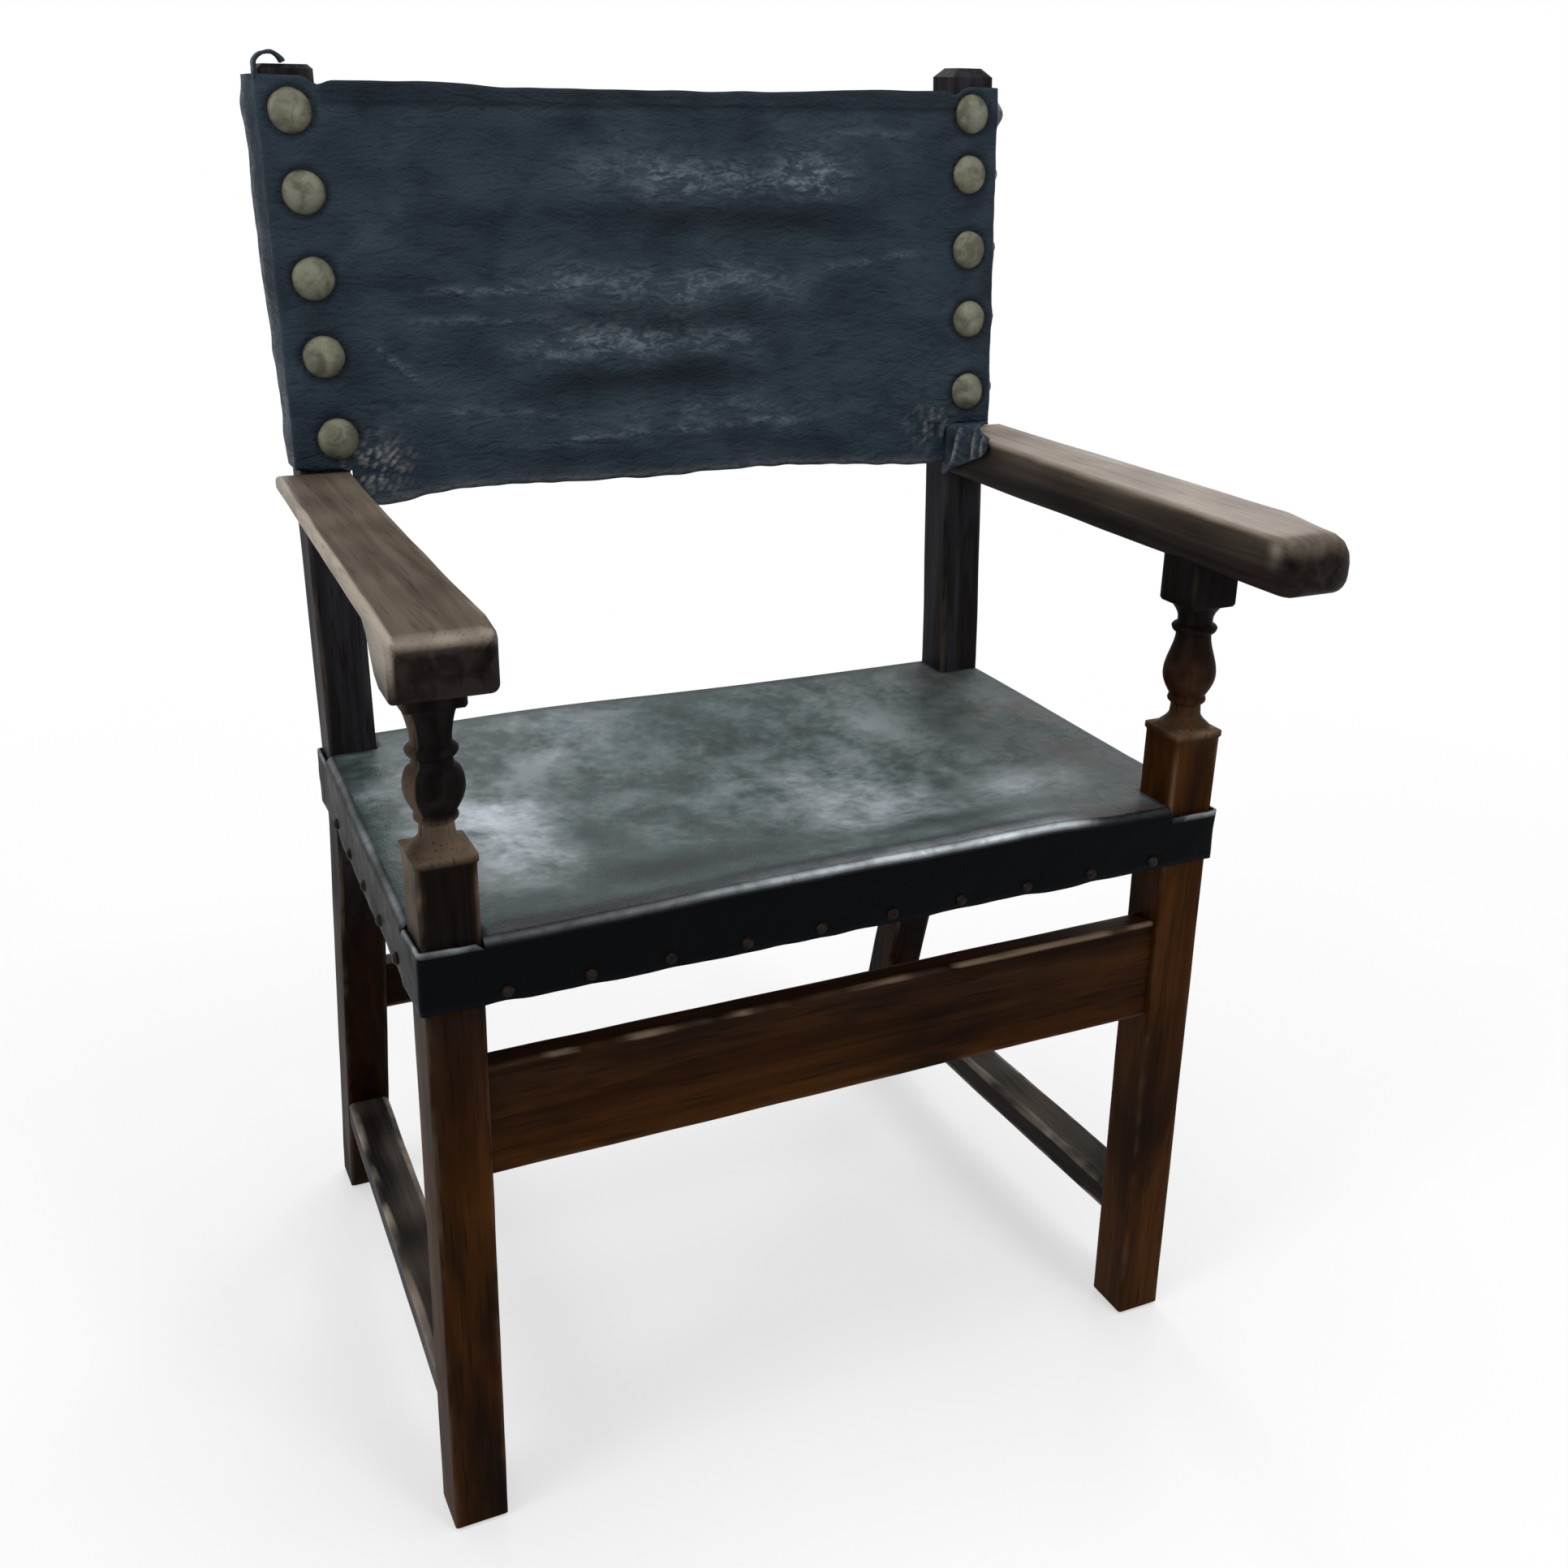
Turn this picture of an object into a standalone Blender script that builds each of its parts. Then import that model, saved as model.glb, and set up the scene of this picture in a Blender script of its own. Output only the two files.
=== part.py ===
"""Friars chair: a dark joined frame with a slung leather seat and a nailed leather back.

Metres, +Z up, the front of the chair faces -Y and the floor is Z = 0.
"""
import math

import bmesh
import bpy
from mathutils import Matrix, Vector

# Clearance between pieces that touch
GAP = 0.0003

# Front legs: square stock, turned above the seat
LEG = 0.040
FRONT_HALF_WIDTH = 0.310
LEG_BLOCK_TOP = 0.545
FOOT_CHAMFER = 0.002

# Back posts: sawn sticks, kicked backward below the seat and raked above it
POST_WIDTH = 0.038
POST_DEPTH = 0.038
BACK_HALF_WIDTH = 0.301
POST_SETBACK_SEAT = 0.341
POST_SETBACK_FOOT = 0.455
POST_SETBACK_TOP = 0.3715
STRAIGHT_LOW = 0.425
STRAIGHT_HIGH = 0.500
POST_TOP = 1.012
POST_SHORTER = {"left": 0.008, "right": 0.0}
POST_TOP_CHAMFERS = {"left": 0.003, "right": 0.007}
POST_EDGE = 0.0015

# Arms
ARM_TOP = 0.717
ARM_THICK = 0.039
ARM_OVERHANG = 0.083
ARM_PAST_POST = 0.019
ARM_INSIDE_LEG = 0.001
ARM_PAST_LEG = 0.024
ARM_NOSE_RISE = 0.010
ARM_NOSE_RUN = 0.009
ARM_NOSE_UNDERCUT = 0.004
ARM_NOSE_STEPS = 6
ARM_EDGE = 0.003

# Seat rails and the leather over them
RAIL_TOP = 0.4827
RAIL_HEIGHT = 0.043
RAIL_THICK = 0.026
RAIL_EDGE = 0.004
ROLL_SEGMENTS = 4
SEAT_LEATHER = 0.003
SEAT_SKIRT_HANG = 0.0027
SEAT_BAND_DROP = 0.008

# Stretchers
FRONT_BOARD_LOW = 0.3005
FRONT_BOARD_HIGH = 0.3860
FRONT_BOARD_THICK = 0.020
FRONT_BOARD_SETBACK = 0.006
REAR_BAR_LOW = 0.222
REAR_BAR_HIGH = 0.265
REAR_BAR_THICK = 0.022
SIDE_BAR_LOW = 0.086
SIDE_BAR_HIGH = 0.114
SIDE_BAR_WIDTH = 0.036
STICK_EDGE = 0.0015

# Tenons
TENON_THICK = 0.010
TENON_LENGTH = 0.018
TENON_INSET = 0.006
TENON_ROOT = 0.004
MORTISE_SPARE = 0.001
CROSS_TENON_SETBACK = 0.007
SIDE_TENON_SETBACK = 0.017
SIDE_TENON_SHORT = 0.002
ARM_TENON_WIDTH = 0.022
ARM_TENON_HEIGHT = 0.018
LEG_TENON = 0.020
LEG_TENON_HEIGHT = 0.026

# Back leather
BACK_LEATHER = 0.003
BACK_HEM_BELOW_ARM = 0.022
BACK_POST_ABOVE_ARM = 0.003
BACK_TOP_DROP = 0.015
BACK_HEM_DROP = 0.006
BACK_FLAP_SHORT = 0.005
BACK_CORNER = 0.0015
BACK_NOTCH_INSET = 0.004

# Large domed nails down the posts, upward: how far each was driven inward and upward of its even place
NAILS_BY_EYE = {
    "left": ((0.011, -0.005), (0.006, -0.002), (0.004, -0.004), (0.003, -0.002), (-0.001, -0.005)),
    "right": ((0.002, 0.001), (0.002, 0.005), (0.004, 0.005), (0.005, 0.008), (0.004, -0.002)),
}
NAIL_LOW_MARGIN = 0.027
NAIL_TOP_MARGIN = 0.019
NAIL_RADIUS = 0.0160
NAIL_DOME = 0.0055
NAIL_RIM = 0.0015
NAIL_SHANK = 0.0022
NAIL_LENGTH = 0.024
NAIL_SEGMENTS = 20

# Small tacks along the turned-down seat leather
TACK_ABOVE_RAIL_FOOT = 0.0058
TACK_RADIUS = 0.0048
TACK_DOME = 0.0026
TACK_RIM = 0.0006
TACK_SHANK = 0.0011
TACK_LENGTH = 0.012
TACK_SEGMENTS = 10
FRONT_TACKS = 10
FRONT_TACK_MARGIN = 0.014
SIDE_TACKS = 5
SIDE_TACK_MARGIN = 0.030

# Shared shape of nails and tacks: rings on the dome, straight part of the shank, blunt point
DOME_STEPS = 5
SHANK_STRAIGHT = 0.75
POINT_PART = 0.25

# How far cutters stand out of what they cut
CUT_CLEAR = 0.020
DRILL_CLEAR = 0.008

# Colours
WOOD_DARK = (0.045, 0.024, 0.014, 1.0)
WOOD_WORN = (0.120, 0.085, 0.060, 1.0)
HIDE_BACK = (0.022, 0.032, 0.042, 1.0)
HIDE_SEAT = (0.090, 0.110, 0.115, 1.0)
BRASS_DULL = (0.190, 0.180, 0.120, 1.0)
IRON_DULL = (0.110, 0.095, 0.080, 1.0)

# Depth is measured from the front face of the front legs; the chair is centred over its box
DEPTH = ARM_OVERHANG + POST_SETBACK_FOOT + POST_DEPTH
LEG_FRONT = ARM_OVERHANG - DEPTH / 2
LEG_BACK = LEG_FRONT + LEG
LEG_INNER = FRONT_HALF_WIDTH - LEG
POST_INNER = BACK_HALF_WIDTH - POST_WIDTH
RAIL_LOW = RAIL_TOP - RAIL_HEIGHT
SEAT_SKIRT_LOW = RAIL_LOW - SEAT_SKIRT_HANG
TACK_HEIGHT = RAIL_LOW + TACK_ABOVE_RAIL_FOOT
ARM_LOW = ARM_TOP - ARM_THICK
ARM_INNER_BACK = POST_INNER
ARM_OUTER_BACK = BACK_HALF_WIDTH + ARM_PAST_POST
ARM_INNER_FRONT = LEG_INNER - ARM_INSIDE_LEG
ARM_OUTER_FRONT = FRONT_HALF_WIDTH + ARM_PAST_LEG
BACK_HEM_LOW = ARM_TOP - BACK_HEM_BELOW_ARM
BACK_POST_LOW = ARM_TOP + BACK_POST_ABOVE_ARM
BACK_POST_HIGH = POST_TOP - BACK_TOP_DROP
BACK_HEM_HIGH = BACK_POST_HIGH - BACK_HEM_DROP
BACK_FLAP = POST_DEPTH - BACK_FLAP_SHORT
NAIL_FIRST = BACK_POST_LOW + NAIL_LOW_MARGIN
NAIL_PITCH = (BACK_POST_HIGH - NAIL_TOP_MARGIN - NAIL_FIRST) / (len(NAILS_BY_EYE["left"]) - 1)
SEAT_BACK = LEG_FRONT + POST_SETBACK_SEAT + POST_DEPTH
LEG_MID = FRONT_HALF_WIDTH - LEG / 2
POST_MID = BACK_HALF_WIDTH - POST_WIDTH / 2
RAKE_SLOPE = (POST_SETBACK_TOP - POST_SETBACK_SEAT) / (POST_TOP - STRAIGHT_HIGH)
SEAT_TOP = RAIL_TOP + GAP + SEAT_LEATHER
SIDES = (("left", -1), ("right", 1))


def between(low, high, part):
    return low + (high - low) * part


def post_front(z):
    """Y of the front face of a back post at height z."""
    if z < STRAIGHT_LOW:
        return LEG_FRONT + between(POST_SETBACK_FOOT, POST_SETBACK_SEAT, z / STRAIGHT_LOW)
    if z > STRAIGHT_HIGH:
        return LEG_FRONT + POST_SETBACK_SEAT + RAKE_SLOPE * (z - STRAIGHT_HIGH)
    return LEG_FRONT + POST_SETBACK_SEAT


def frame_side(y):
    """X of the outer face of the seat frame at depth y."""
    return between(FRONT_HALF_WIDTH, BACK_HALF_WIDTH,
                   (y - LEG_BACK) / (LEG_FRONT + POST_SETBACK_SEAT - LEG_BACK))


def stick_mid(y):
    """X of the middle of a low side bar at depth y."""
    return between(LEG_MID, POST_MID, (y - LEG_BACK) / (post_front(SIDE_BAR_HIGH) - LEG_BACK))


def arm_edges(y):
    """X of the inner and outer edge of an arm at depth y."""
    part = (y - LEG_FRONT + ARM_OVERHANG) / (post_front(ARM_TOP) - LEG_FRONT + ARM_OVERHANG)
    return (between(ARM_INNER_FRONT, ARM_INNER_BACK, part),
            between(ARM_OUTER_FRONT, ARM_OUTER_BACK, part))


def make_material(name, colour, roughness, metallic=0.0):
    material = bpy.data.materials.new(name)
    material.use_nodes = True
    shader = material.node_tree.nodes["Principled BSDF"]
    shader.inputs["Base Color"].default_value = colour
    shader.inputs["Roughness"].default_value = roughness
    shader.inputs["Metallic"].default_value = metallic
    material.diffuse_color = colour
    return material


def make_object(name, mesh_source, material=None):
    """Named piece from a closed skin, with its faces turned outward."""
    bmesh.ops.recalc_face_normals(mesh_source, faces=mesh_source.faces)
    mesh = bpy.data.meshes.new(name)
    mesh_source.to_mesh(mesh)
    mesh_source.free()
    made = bpy.data.objects.new(name, mesh)
    bpy.context.scene.collection.objects.link(made)
    if material:
        mesh.materials.append(material)
    return made


def loft(name, rings, material=None):
    """Closed solid through rings of points; the first and last ring are capped."""
    shape = bmesh.new()
    rows = [[shape.verts.new(point) for point in ring] for ring in rings]
    count = len(rows[0])
    for lower, upper in zip(rows, rows[1:]):
        for i in range(count):
            j = (i + 1) % count
            shape.faces.new((lower[i], lower[j], upper[j], upper[i]))
    shape.faces.new(list(reversed(rows[0])))
    shape.faces.new(rows[-1])
    return make_object(name, shape, material)


def box(name, x, y, z, material=None):
    """Box from three (low, high) pairs."""
    corners = [(x[0], y[0]), (x[1], y[0]), (x[1], y[1]), (x[0], y[1])]
    rings = [[(px, py, pz) for px, py in corners] for pz in z]
    return loft(name, rings, material)


def prism_up(name, plan, z, material=None):
    """Prism on a plan of (x, y) points."""
    return loft(name, [[(px, py, pz) for px, py in plan] for pz in z], material)


def prism_across(name, profile, x, material=None):
    """Prism along X on a profile of (y, z) points."""
    return loft(name, [[(px, py, pz) for py, pz in profile] for px in x], material)


def keep_result(target):
    """Make the worked shape of a piece its own shape."""
    graph = bpy.context.evaluated_depsgraph_get()
    mesh = bpy.data.meshes.new_from_object(target.evaluated_get(graph))
    target.modifiers.clear()
    old = target.data
    target.data = mesh
    bpy.data.meshes.remove(old)
    mesh.name = target.name


def combine(target, others, operation):
    """Join or cut a solid with others that stay clear of each other; the others are used up."""
    together = bmesh.new()
    for other in others:
        together.from_mesh(other.data)
        bpy.data.objects.remove(other)
    tool = make_object("tool", together)
    step = target.modifiers.new("step", "BOOLEAN")
    step.solver = "EXACT"
    step.operation = operation
    step.object = tool
    keep_result(target)
    bpy.data.objects.remove(tool)


def soften(target, width, segments=2):
    """Round the sharp edges of a stick by a small worn radius."""
    step = target.modifiers.new("worn edges", "BEVEL")
    step.width = width
    step.segments = segments
    step.limit_method = "ANGLE"
    step.angle_limit = math.radians(40)
    keep_result(target)


def roll_top(target, width, segments):
    """Round the edges around the top face of a solid."""
    shape = bmesh.new()
    shape.from_mesh(target.data)
    top = max(vertex.co.z for vertex in shape.verts)
    rim = [edge for edge in shape.edges if all(top - vertex.co.z < GAP for vertex in edge.verts)]
    bmesh.ops.bevel(shape, geom=rim, offset=width, segments=segments, profile=0.5, affect="EDGES")
    shape.to_mesh(target.data)
    shape.free()


def shade(target, sharp=35):
    mesh = target.data
    for face in mesh.polygons:
        face.use_smooth = True
    mesh.set_sharp_from_angle(angle=math.radians(sharp))


def grown(span, by):
    return (span[0] - by, span[1] + by)


def drill(name, radius, start, along, length, segments=12):
    """Round cutter from a start point along a direction."""
    along = Vector(along).normalized()
    turn = along.to_track_quat("Z", "Y").to_matrix().to_4x4()
    place = Matrix.Translation(Vector(start)) @ turn
    rings = []
    for height in (0.0, length):
        ring = []
        for i in range(segments):
            angle = 2 * math.pi * i / segments
            ring.append(place @ Vector((radius * math.cos(angle), radius * math.sin(angle), height)))
        rings.append(ring)
    return loft(name, rings)


# Front legs

# Angles within a quarter turn, close together at the corner of the square stock
QUARTER = (0.0, 14.0, 27.0, 37.0, 43.5, 46.5, 53.0, 63.0, 76.0)

# Height from the block (0) to the arm (1), width beside the square stock, and squareness
LEG_TURNING = (
    # Lip on the block and shoulder above it
    (-0.045, 1.00, 1.0), (-0.030, 1.06, 1.0), (0.000, 1.06, 1.0), (0.015, 0.95, 0.9),
    (0.020, 0.93, 0.25), (0.050, 0.88, 0.0), (0.075, 0.76, 0.0), (0.095, 0.62, 0.0),
    # Lower neck and its ring
    (0.120, 0.57, 0.0), (0.155, 0.57, 0.0), (0.165, 0.70, 0.0), (0.185, 0.73, 0.0), (0.205, 0.67, 0.0),
    # Vase, widest low down
    (0.225, 0.74, 0.0), (0.255, 0.86, 0.0), (0.290, 0.945, 0.0), (0.330, 0.98, 0.0), (0.370, 0.965, 0.0),
    (0.415, 0.91, 0.0), (0.460, 0.83, 0.0), (0.500, 0.745, 0.0), (0.540, 0.68, 0.0), (0.570, 0.65, 0.0),
    # Upper ring
    (0.583, 0.80, 0.0), (0.600, 0.85, 0.0), (0.620, 0.80, 0.0), (0.632, 0.63, 0.0), (0.645, 0.63, 0.2),
    # Square capital, stepped out under the arm
    (0.652, 0.67, 1.0), (0.695, 0.76, 1.0), (0.735, 0.90, 1.0), (0.738, 0.96, 1.0), (0.760, 1.01, 1.0),
    (1.000, 1.02, 1.0),
)


def leg_ring(centre, z, half, square):
    """Section of a leg: half its width, and how square it is from 0 (round) to 1."""
    ring = []
    for quarter in range(4):
        for angle in QUARTER:
            turn = math.radians(angle + 90 * quarter)
            reach = 1 / max(abs(math.cos(turn)), abs(math.sin(turn)))
            radius = half * between(1.0, reach, square)
            ring.append((centre[0] + radius * math.cos(turn), centre[1] + radius * math.sin(turn), z))
    return ring


def leg_sections():
    """Heights, half widths and squareness up a front leg."""
    half = LEG / 2
    rows = [(0.0, half - FOOT_CHAMFER, 1.0), (FOOT_CHAMFER, half, 1.0)]
    for part, wide, square in LEG_TURNING:
        rows.append((between(LEG_BLOCK_TOP, ARM_LOW - GAP, part), half * wide, square))
    rows += [(ARM_LOW - GAP, LEG_TENON / 2, 1.0), (ARM_LOW + LEG_TENON_HEIGHT, LEG_TENON / 2, 1.0)]
    return rows


def build_leg(side_name, side, wood):
    centre = (side * LEG_MID, LEG_FRONT + LEG / 2)
    rings = [leg_ring(centre, z, half, square) for z, half, square in leg_sections()]
    return loft("front_leg_" + side_name, rings, wood)


# Back posts


def post_profile(top):
    """Outline of a back post in the (y, z) plane, front edge upward, then down the back edge."""
    heights = (0.0, STRAIGHT_LOW, STRAIGHT_HIGH, top)
    front = [(post_front(z), z) for z in heights]
    back = [(post_front(z) + POST_DEPTH, z) for z in reversed(heights)]
    return front + back


def build_post(side_name, side, wood):
    x = sorted((side * POST_INNER, side * BACK_HALF_WIDTH))
    top = POST_TOP - POST_SHORTER[side_name]
    post = prism_across("back_post_" + side_name, post_profile(top), x, wood)
    roll_top(post, POST_TOP_CHAMFERS[side_name], 1)
    soften(post, POST_EDGE)
    return post


# Arms


def arm_tenon(side, clearance=0.0, spare=0.0):
    """Tenon at the back of an arm, or the hole for it."""
    middle_z = ARM_LOW + ARM_THICK / 2
    x = sorted((side * (POST_MID - ARM_TENON_WIDTH / 2), side * (POST_MID + ARM_TENON_WIDTH / 2)))
    y = (post_front(ARM_LOW) - TENON_ROOT, post_front(ARM_LOW) + TENON_LENGTH + spare)
    z = (middle_z - ARM_TENON_HEIGHT / 2, middle_z + ARM_TENON_HEIGHT / 2)
    return box("arm_tenon", grown(x, clearance), y, grown(z, clearance))


def build_arm(side_name, side, wood):
    nose = LEG_FRONT - ARM_OVERHANG
    profile = [(post_front(ARM_LOW) - GAP, ARM_LOW), (post_front(ARM_TOP) - GAP, ARM_TOP)]
    for i in range(ARM_NOSE_STEPS + 1):
        turn = math.radians(90 * i / ARM_NOSE_STEPS)
        profile.append((nose + ARM_NOSE_RUN * (1 - math.sin(turn)),
                        ARM_TOP - ARM_NOSE_RISE * (1 - math.cos(turn))))
    low = ARM_THICK - ARM_NOSE_RISE
    for i in range(1, ARM_NOSE_STEPS + 1):
        turn = math.radians(90 * i / ARM_NOSE_STEPS)
        profile.append((nose + ARM_NOSE_UNDERCUT * (1 - math.cos(turn)),
                        ARM_LOW + low * (1 - math.sin(turn))))
    rings = []
    for edge in (0, 1):
        rings.append([(side * arm_edges(y)[edge], y, z) for y, z in profile])
    arm = loft("arm_" + side_name, rings, wood)
    soften(arm, ARM_EDGE)
    combine(arm, [arm_tenon(side)], "UNION")
    socket_half = LEG_TENON / 2 + GAP
    socket = box("leg_socket",
                 (side * LEG_MID - socket_half, side * LEG_MID + socket_half),
                 (LEG_FRONT + LEG / 2 - socket_half, LEG_FRONT + LEG / 2 + socket_half),
                 (ARM_LOW - CUT_CLEAR, ARM_LOW + LEG_TENON_HEIGHT + MORTISE_SPARE))
    combine(arm, [socket], "DIFFERENCE")
    return arm


# Cross members: a body between two faces, with a tenon at each end


def cross_tenon(side, face, y, z, clearance=0.0, spare=0.0):
    """Tenon that runs along X into a leg or post whose inner face is at face."""
    x = sorted((side * (face - TENON_ROOT), side * (face + TENON_LENGTH + spare)))
    return box("tenon", x, grown(y, clearance), grown(z, clearance))


def build_cross(name, face, y, z, tenon_y, tenon_z, edge, wood):
    body = box(name, (-face + GAP, face - GAP), y, z, wood)
    soften(body, edge)
    combine(body, [cross_tenon(side, face, tenon_y, tenon_z) for _, side in SIDES], "UNION")
    return body


def rail_tenon_z():
    return (RAIL_LOW + TENON_INSET, RAIL_TOP - TENON_INSET)


def middle_span(low, high, width):
    middle = (low + high) / 2
    return (middle - width / 2, middle + width / 2)


FRONT_RAIL_Y = (LEG_FRONT, LEG_FRONT + RAIL_THICK)
BACK_RAIL_Y = (SEAT_BACK - RAIL_THICK, SEAT_BACK)
FRONT_BOARD_Y = (LEG_FRONT + FRONT_BOARD_SETBACK, LEG_FRONT + FRONT_BOARD_SETBACK + FRONT_BOARD_THICK)
REAR_BAR_MID = post_front((REAR_BAR_LOW + REAR_BAR_HIGH) / 2) + POST_DEPTH / 2
REAR_BAR_Y = (REAR_BAR_MID - REAR_BAR_THICK / 2, REAR_BAR_MID + REAR_BAR_THICK / 2)

# Name, inner face it meets, depth span, height span, tenon depth span, tenon height span, worn edge
CROSS_MEMBERS = (
    ("seat_rail_front", LEG_INNER, FRONT_RAIL_Y, (RAIL_LOW, RAIL_TOP),
     (LEG_FRONT + CROSS_TENON_SETBACK, LEG_FRONT + CROSS_TENON_SETBACK + TENON_THICK),
     rail_tenon_z(), RAIL_EDGE),
    ("front_stretcher", LEG_INNER, FRONT_BOARD_Y, (FRONT_BOARD_LOW, FRONT_BOARD_HIGH),
     middle_span(*FRONT_BOARD_Y, TENON_THICK),
     (FRONT_BOARD_LOW + 2 * TENON_INSET, FRONT_BOARD_HIGH - 2 * TENON_INSET), STICK_EDGE),
    ("seat_rail_back", POST_INNER, BACK_RAIL_Y, (RAIL_LOW, RAIL_TOP),
     (SEAT_BACK - CROSS_TENON_SETBACK - TENON_THICK, SEAT_BACK - CROSS_TENON_SETBACK),
     rail_tenon_z(), RAIL_EDGE),
    ("rear_stretcher", POST_INNER, REAR_BAR_Y, (REAR_BAR_LOW, REAR_BAR_HIGH),
     middle_span(*REAR_BAR_Y, TENON_THICK),
     (REAR_BAR_LOW + TENON_INSET, REAR_BAR_HIGH - TENON_INSET), STICK_EDGE),
)


# Side members: run front to back, with a tenon at each end


def side_rail_tenon(side, at_post, clearance=0.0, spare=0.0):
    if at_post:
        start = LEG_FRONT + POST_SETBACK_SEAT
        y = (start - TENON_ROOT, start + TENON_LENGTH - SIDE_TENON_SHORT + spare)
        inner = BACK_HALF_WIDTH - SIDE_TENON_SETBACK
    else:
        y = (LEG_BACK - TENON_LENGTH + SIDE_TENON_SHORT - spare, LEG_BACK + TENON_ROOT)
        inner = FRONT_HALF_WIDTH - SIDE_TENON_SETBACK
    x = sorted((side * inner, side * (inner + TENON_THICK)))
    return box("tenon", grown(x, clearance), y, grown(rail_tenon_z(), clearance))


def build_side_rail(side_name, side, wood):
    front = LEG_BACK + GAP
    back = LEG_FRONT + POST_SETBACK_SEAT - GAP
    plan = []
    for y, inward in ((front, 0.0), (front, RAIL_THICK), (back, RAIL_THICK), (back, 0.0)):
        plan.append((side * (frame_side(y) - inward), y))
    rail = prism_up("seat_rail_" + side_name, plan, (RAIL_LOW, RAIL_TOP), wood)
    soften(rail, RAIL_EDGE)
    combine(rail, [side_rail_tenon(side, at_post) for at_post in (False, True)], "UNION")
    return rail


def side_bar_tenon(side, at_post, clearance=0.0, spare=0.0):
    middle_z = (SIDE_BAR_LOW + SIDE_BAR_HIGH) / 2
    if at_post:
        y = (post_front(SIDE_BAR_HIGH) - TENON_ROOT, post_front(SIDE_BAR_LOW) + TENON_LENGTH + spare)
        middle = POST_MID
    else:
        y = (LEG_BACK - TENON_LENGTH - spare, LEG_BACK + TENON_ROOT)
        middle = LEG_MID
    half = SIDE_BAR_WIDTH / 2 - TENON_INSET
    x = sorted((side * (middle - half), side * (middle + half)))
    z = (middle_z - TENON_THICK / 2, middle_z + TENON_THICK / 2)
    return box("tenon", grown(x, clearance), y, grown(z, clearance))


def build_side_bar(side_name, side, wood):
    front = LEG_BACK + GAP
    rings = []
    for inward in (-SIDE_BAR_WIDTH / 2, SIDE_BAR_WIDTH / 2):
        ring = []
        for z, at_post in ((SIDE_BAR_LOW, False), (SIDE_BAR_HIGH, False),
                           (SIDE_BAR_HIGH, True), (SIDE_BAR_LOW, True)):
            y = post_front(z) - GAP if at_post else front
            ring.append((side * (stick_mid(y) + inward), y, z))
        rings.append(ring)
    bar = loft("side_stretcher_" + side_name, rings, wood)
    soften(bar, 2 * STICK_EDGE)
    combine(bar, [side_bar_tenon(side, at_post) for at_post in (False, True)], "UNION")
    return bar


# Leather


def seat_outline(outward):
    """Plan of the seat frame, moved outward by a distance."""
    front = LEG_FRONT - outward
    back = SEAT_BACK + outward
    return [(-FRONT_HALF_WIDTH - outward, front), (FRONT_HALF_WIDTH + outward, front),
            (FRONT_HALF_WIDTH + outward, LEG_BACK), (BACK_HALF_WIDTH + outward, LEG_FRONT + POST_SETBACK_SEAT),
            (BACK_HALF_WIDTH + outward, back), (-BACK_HALF_WIDTH - outward, back),
            (-BACK_HALF_WIDTH - outward, LEG_FRONT + POST_SETBACK_SEAT), (-FRONT_HALF_WIDTH - outward, LEG_BACK)]


def build_seat_leather(hide):
    """One hide over the rails: a skirt all round, a flat top and a hole for each upright."""
    outer = prism_up("seat_leather", seat_outline(GAP + SEAT_LEATHER), (SEAT_SKIRT_LOW, SEAT_TOP), hide)
    roll_top(outer, RAIL_EDGE + SEAT_LEATHER, ROLL_SEGMENTS)
    inner = prism_up("seat_inside", seat_outline(GAP), (SEAT_SKIRT_LOW - CUT_CLEAR, RAIL_TOP + GAP))
    roll_top(inner, RAIL_EDGE, ROLL_SEGMENTS)
    combine(outer, [inner], "DIFFERENCE")
    holes = []
    collars = []
    seat_front = LEG_FRONT + POST_SETBACK_SEAT
    for _, side in SIDES:
        rise = (RAIL_LOW, SEAT_TOP + CUT_CLEAR)
        above = (SEAT_TOP - SEAT_BAND_DROP, SEAT_TOP + CUT_CLEAR)
        for inner_x, outer_x, y, open_y in (
                (LEG_INNER, FRONT_HALF_WIDTH, (LEG_FRONT, LEG_BACK), (LEG_FRONT - CUT_CLEAR, LEG_BACK + GAP)),
                (POST_INNER, BACK_HALF_WIDTH, (seat_front, SEAT_BACK), (seat_front - GAP, SEAT_BACK + CUT_CLEAR))):
            x = sorted((side * (inner_x - GAP), side * (outer_x + GAP)))
            open_x = sorted((side * (inner_x - GAP), side * (outer_x + CUT_CLEAR)))
            holes.append(box("upright_hole", x, grown(y, GAP), rise))
            collars.append(box("band_edge", open_x, open_y, above))
    combine(outer, holes, "DIFFERENCE")
    combine(outer, collars, "DIFFERENCE")
    return outer


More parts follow.
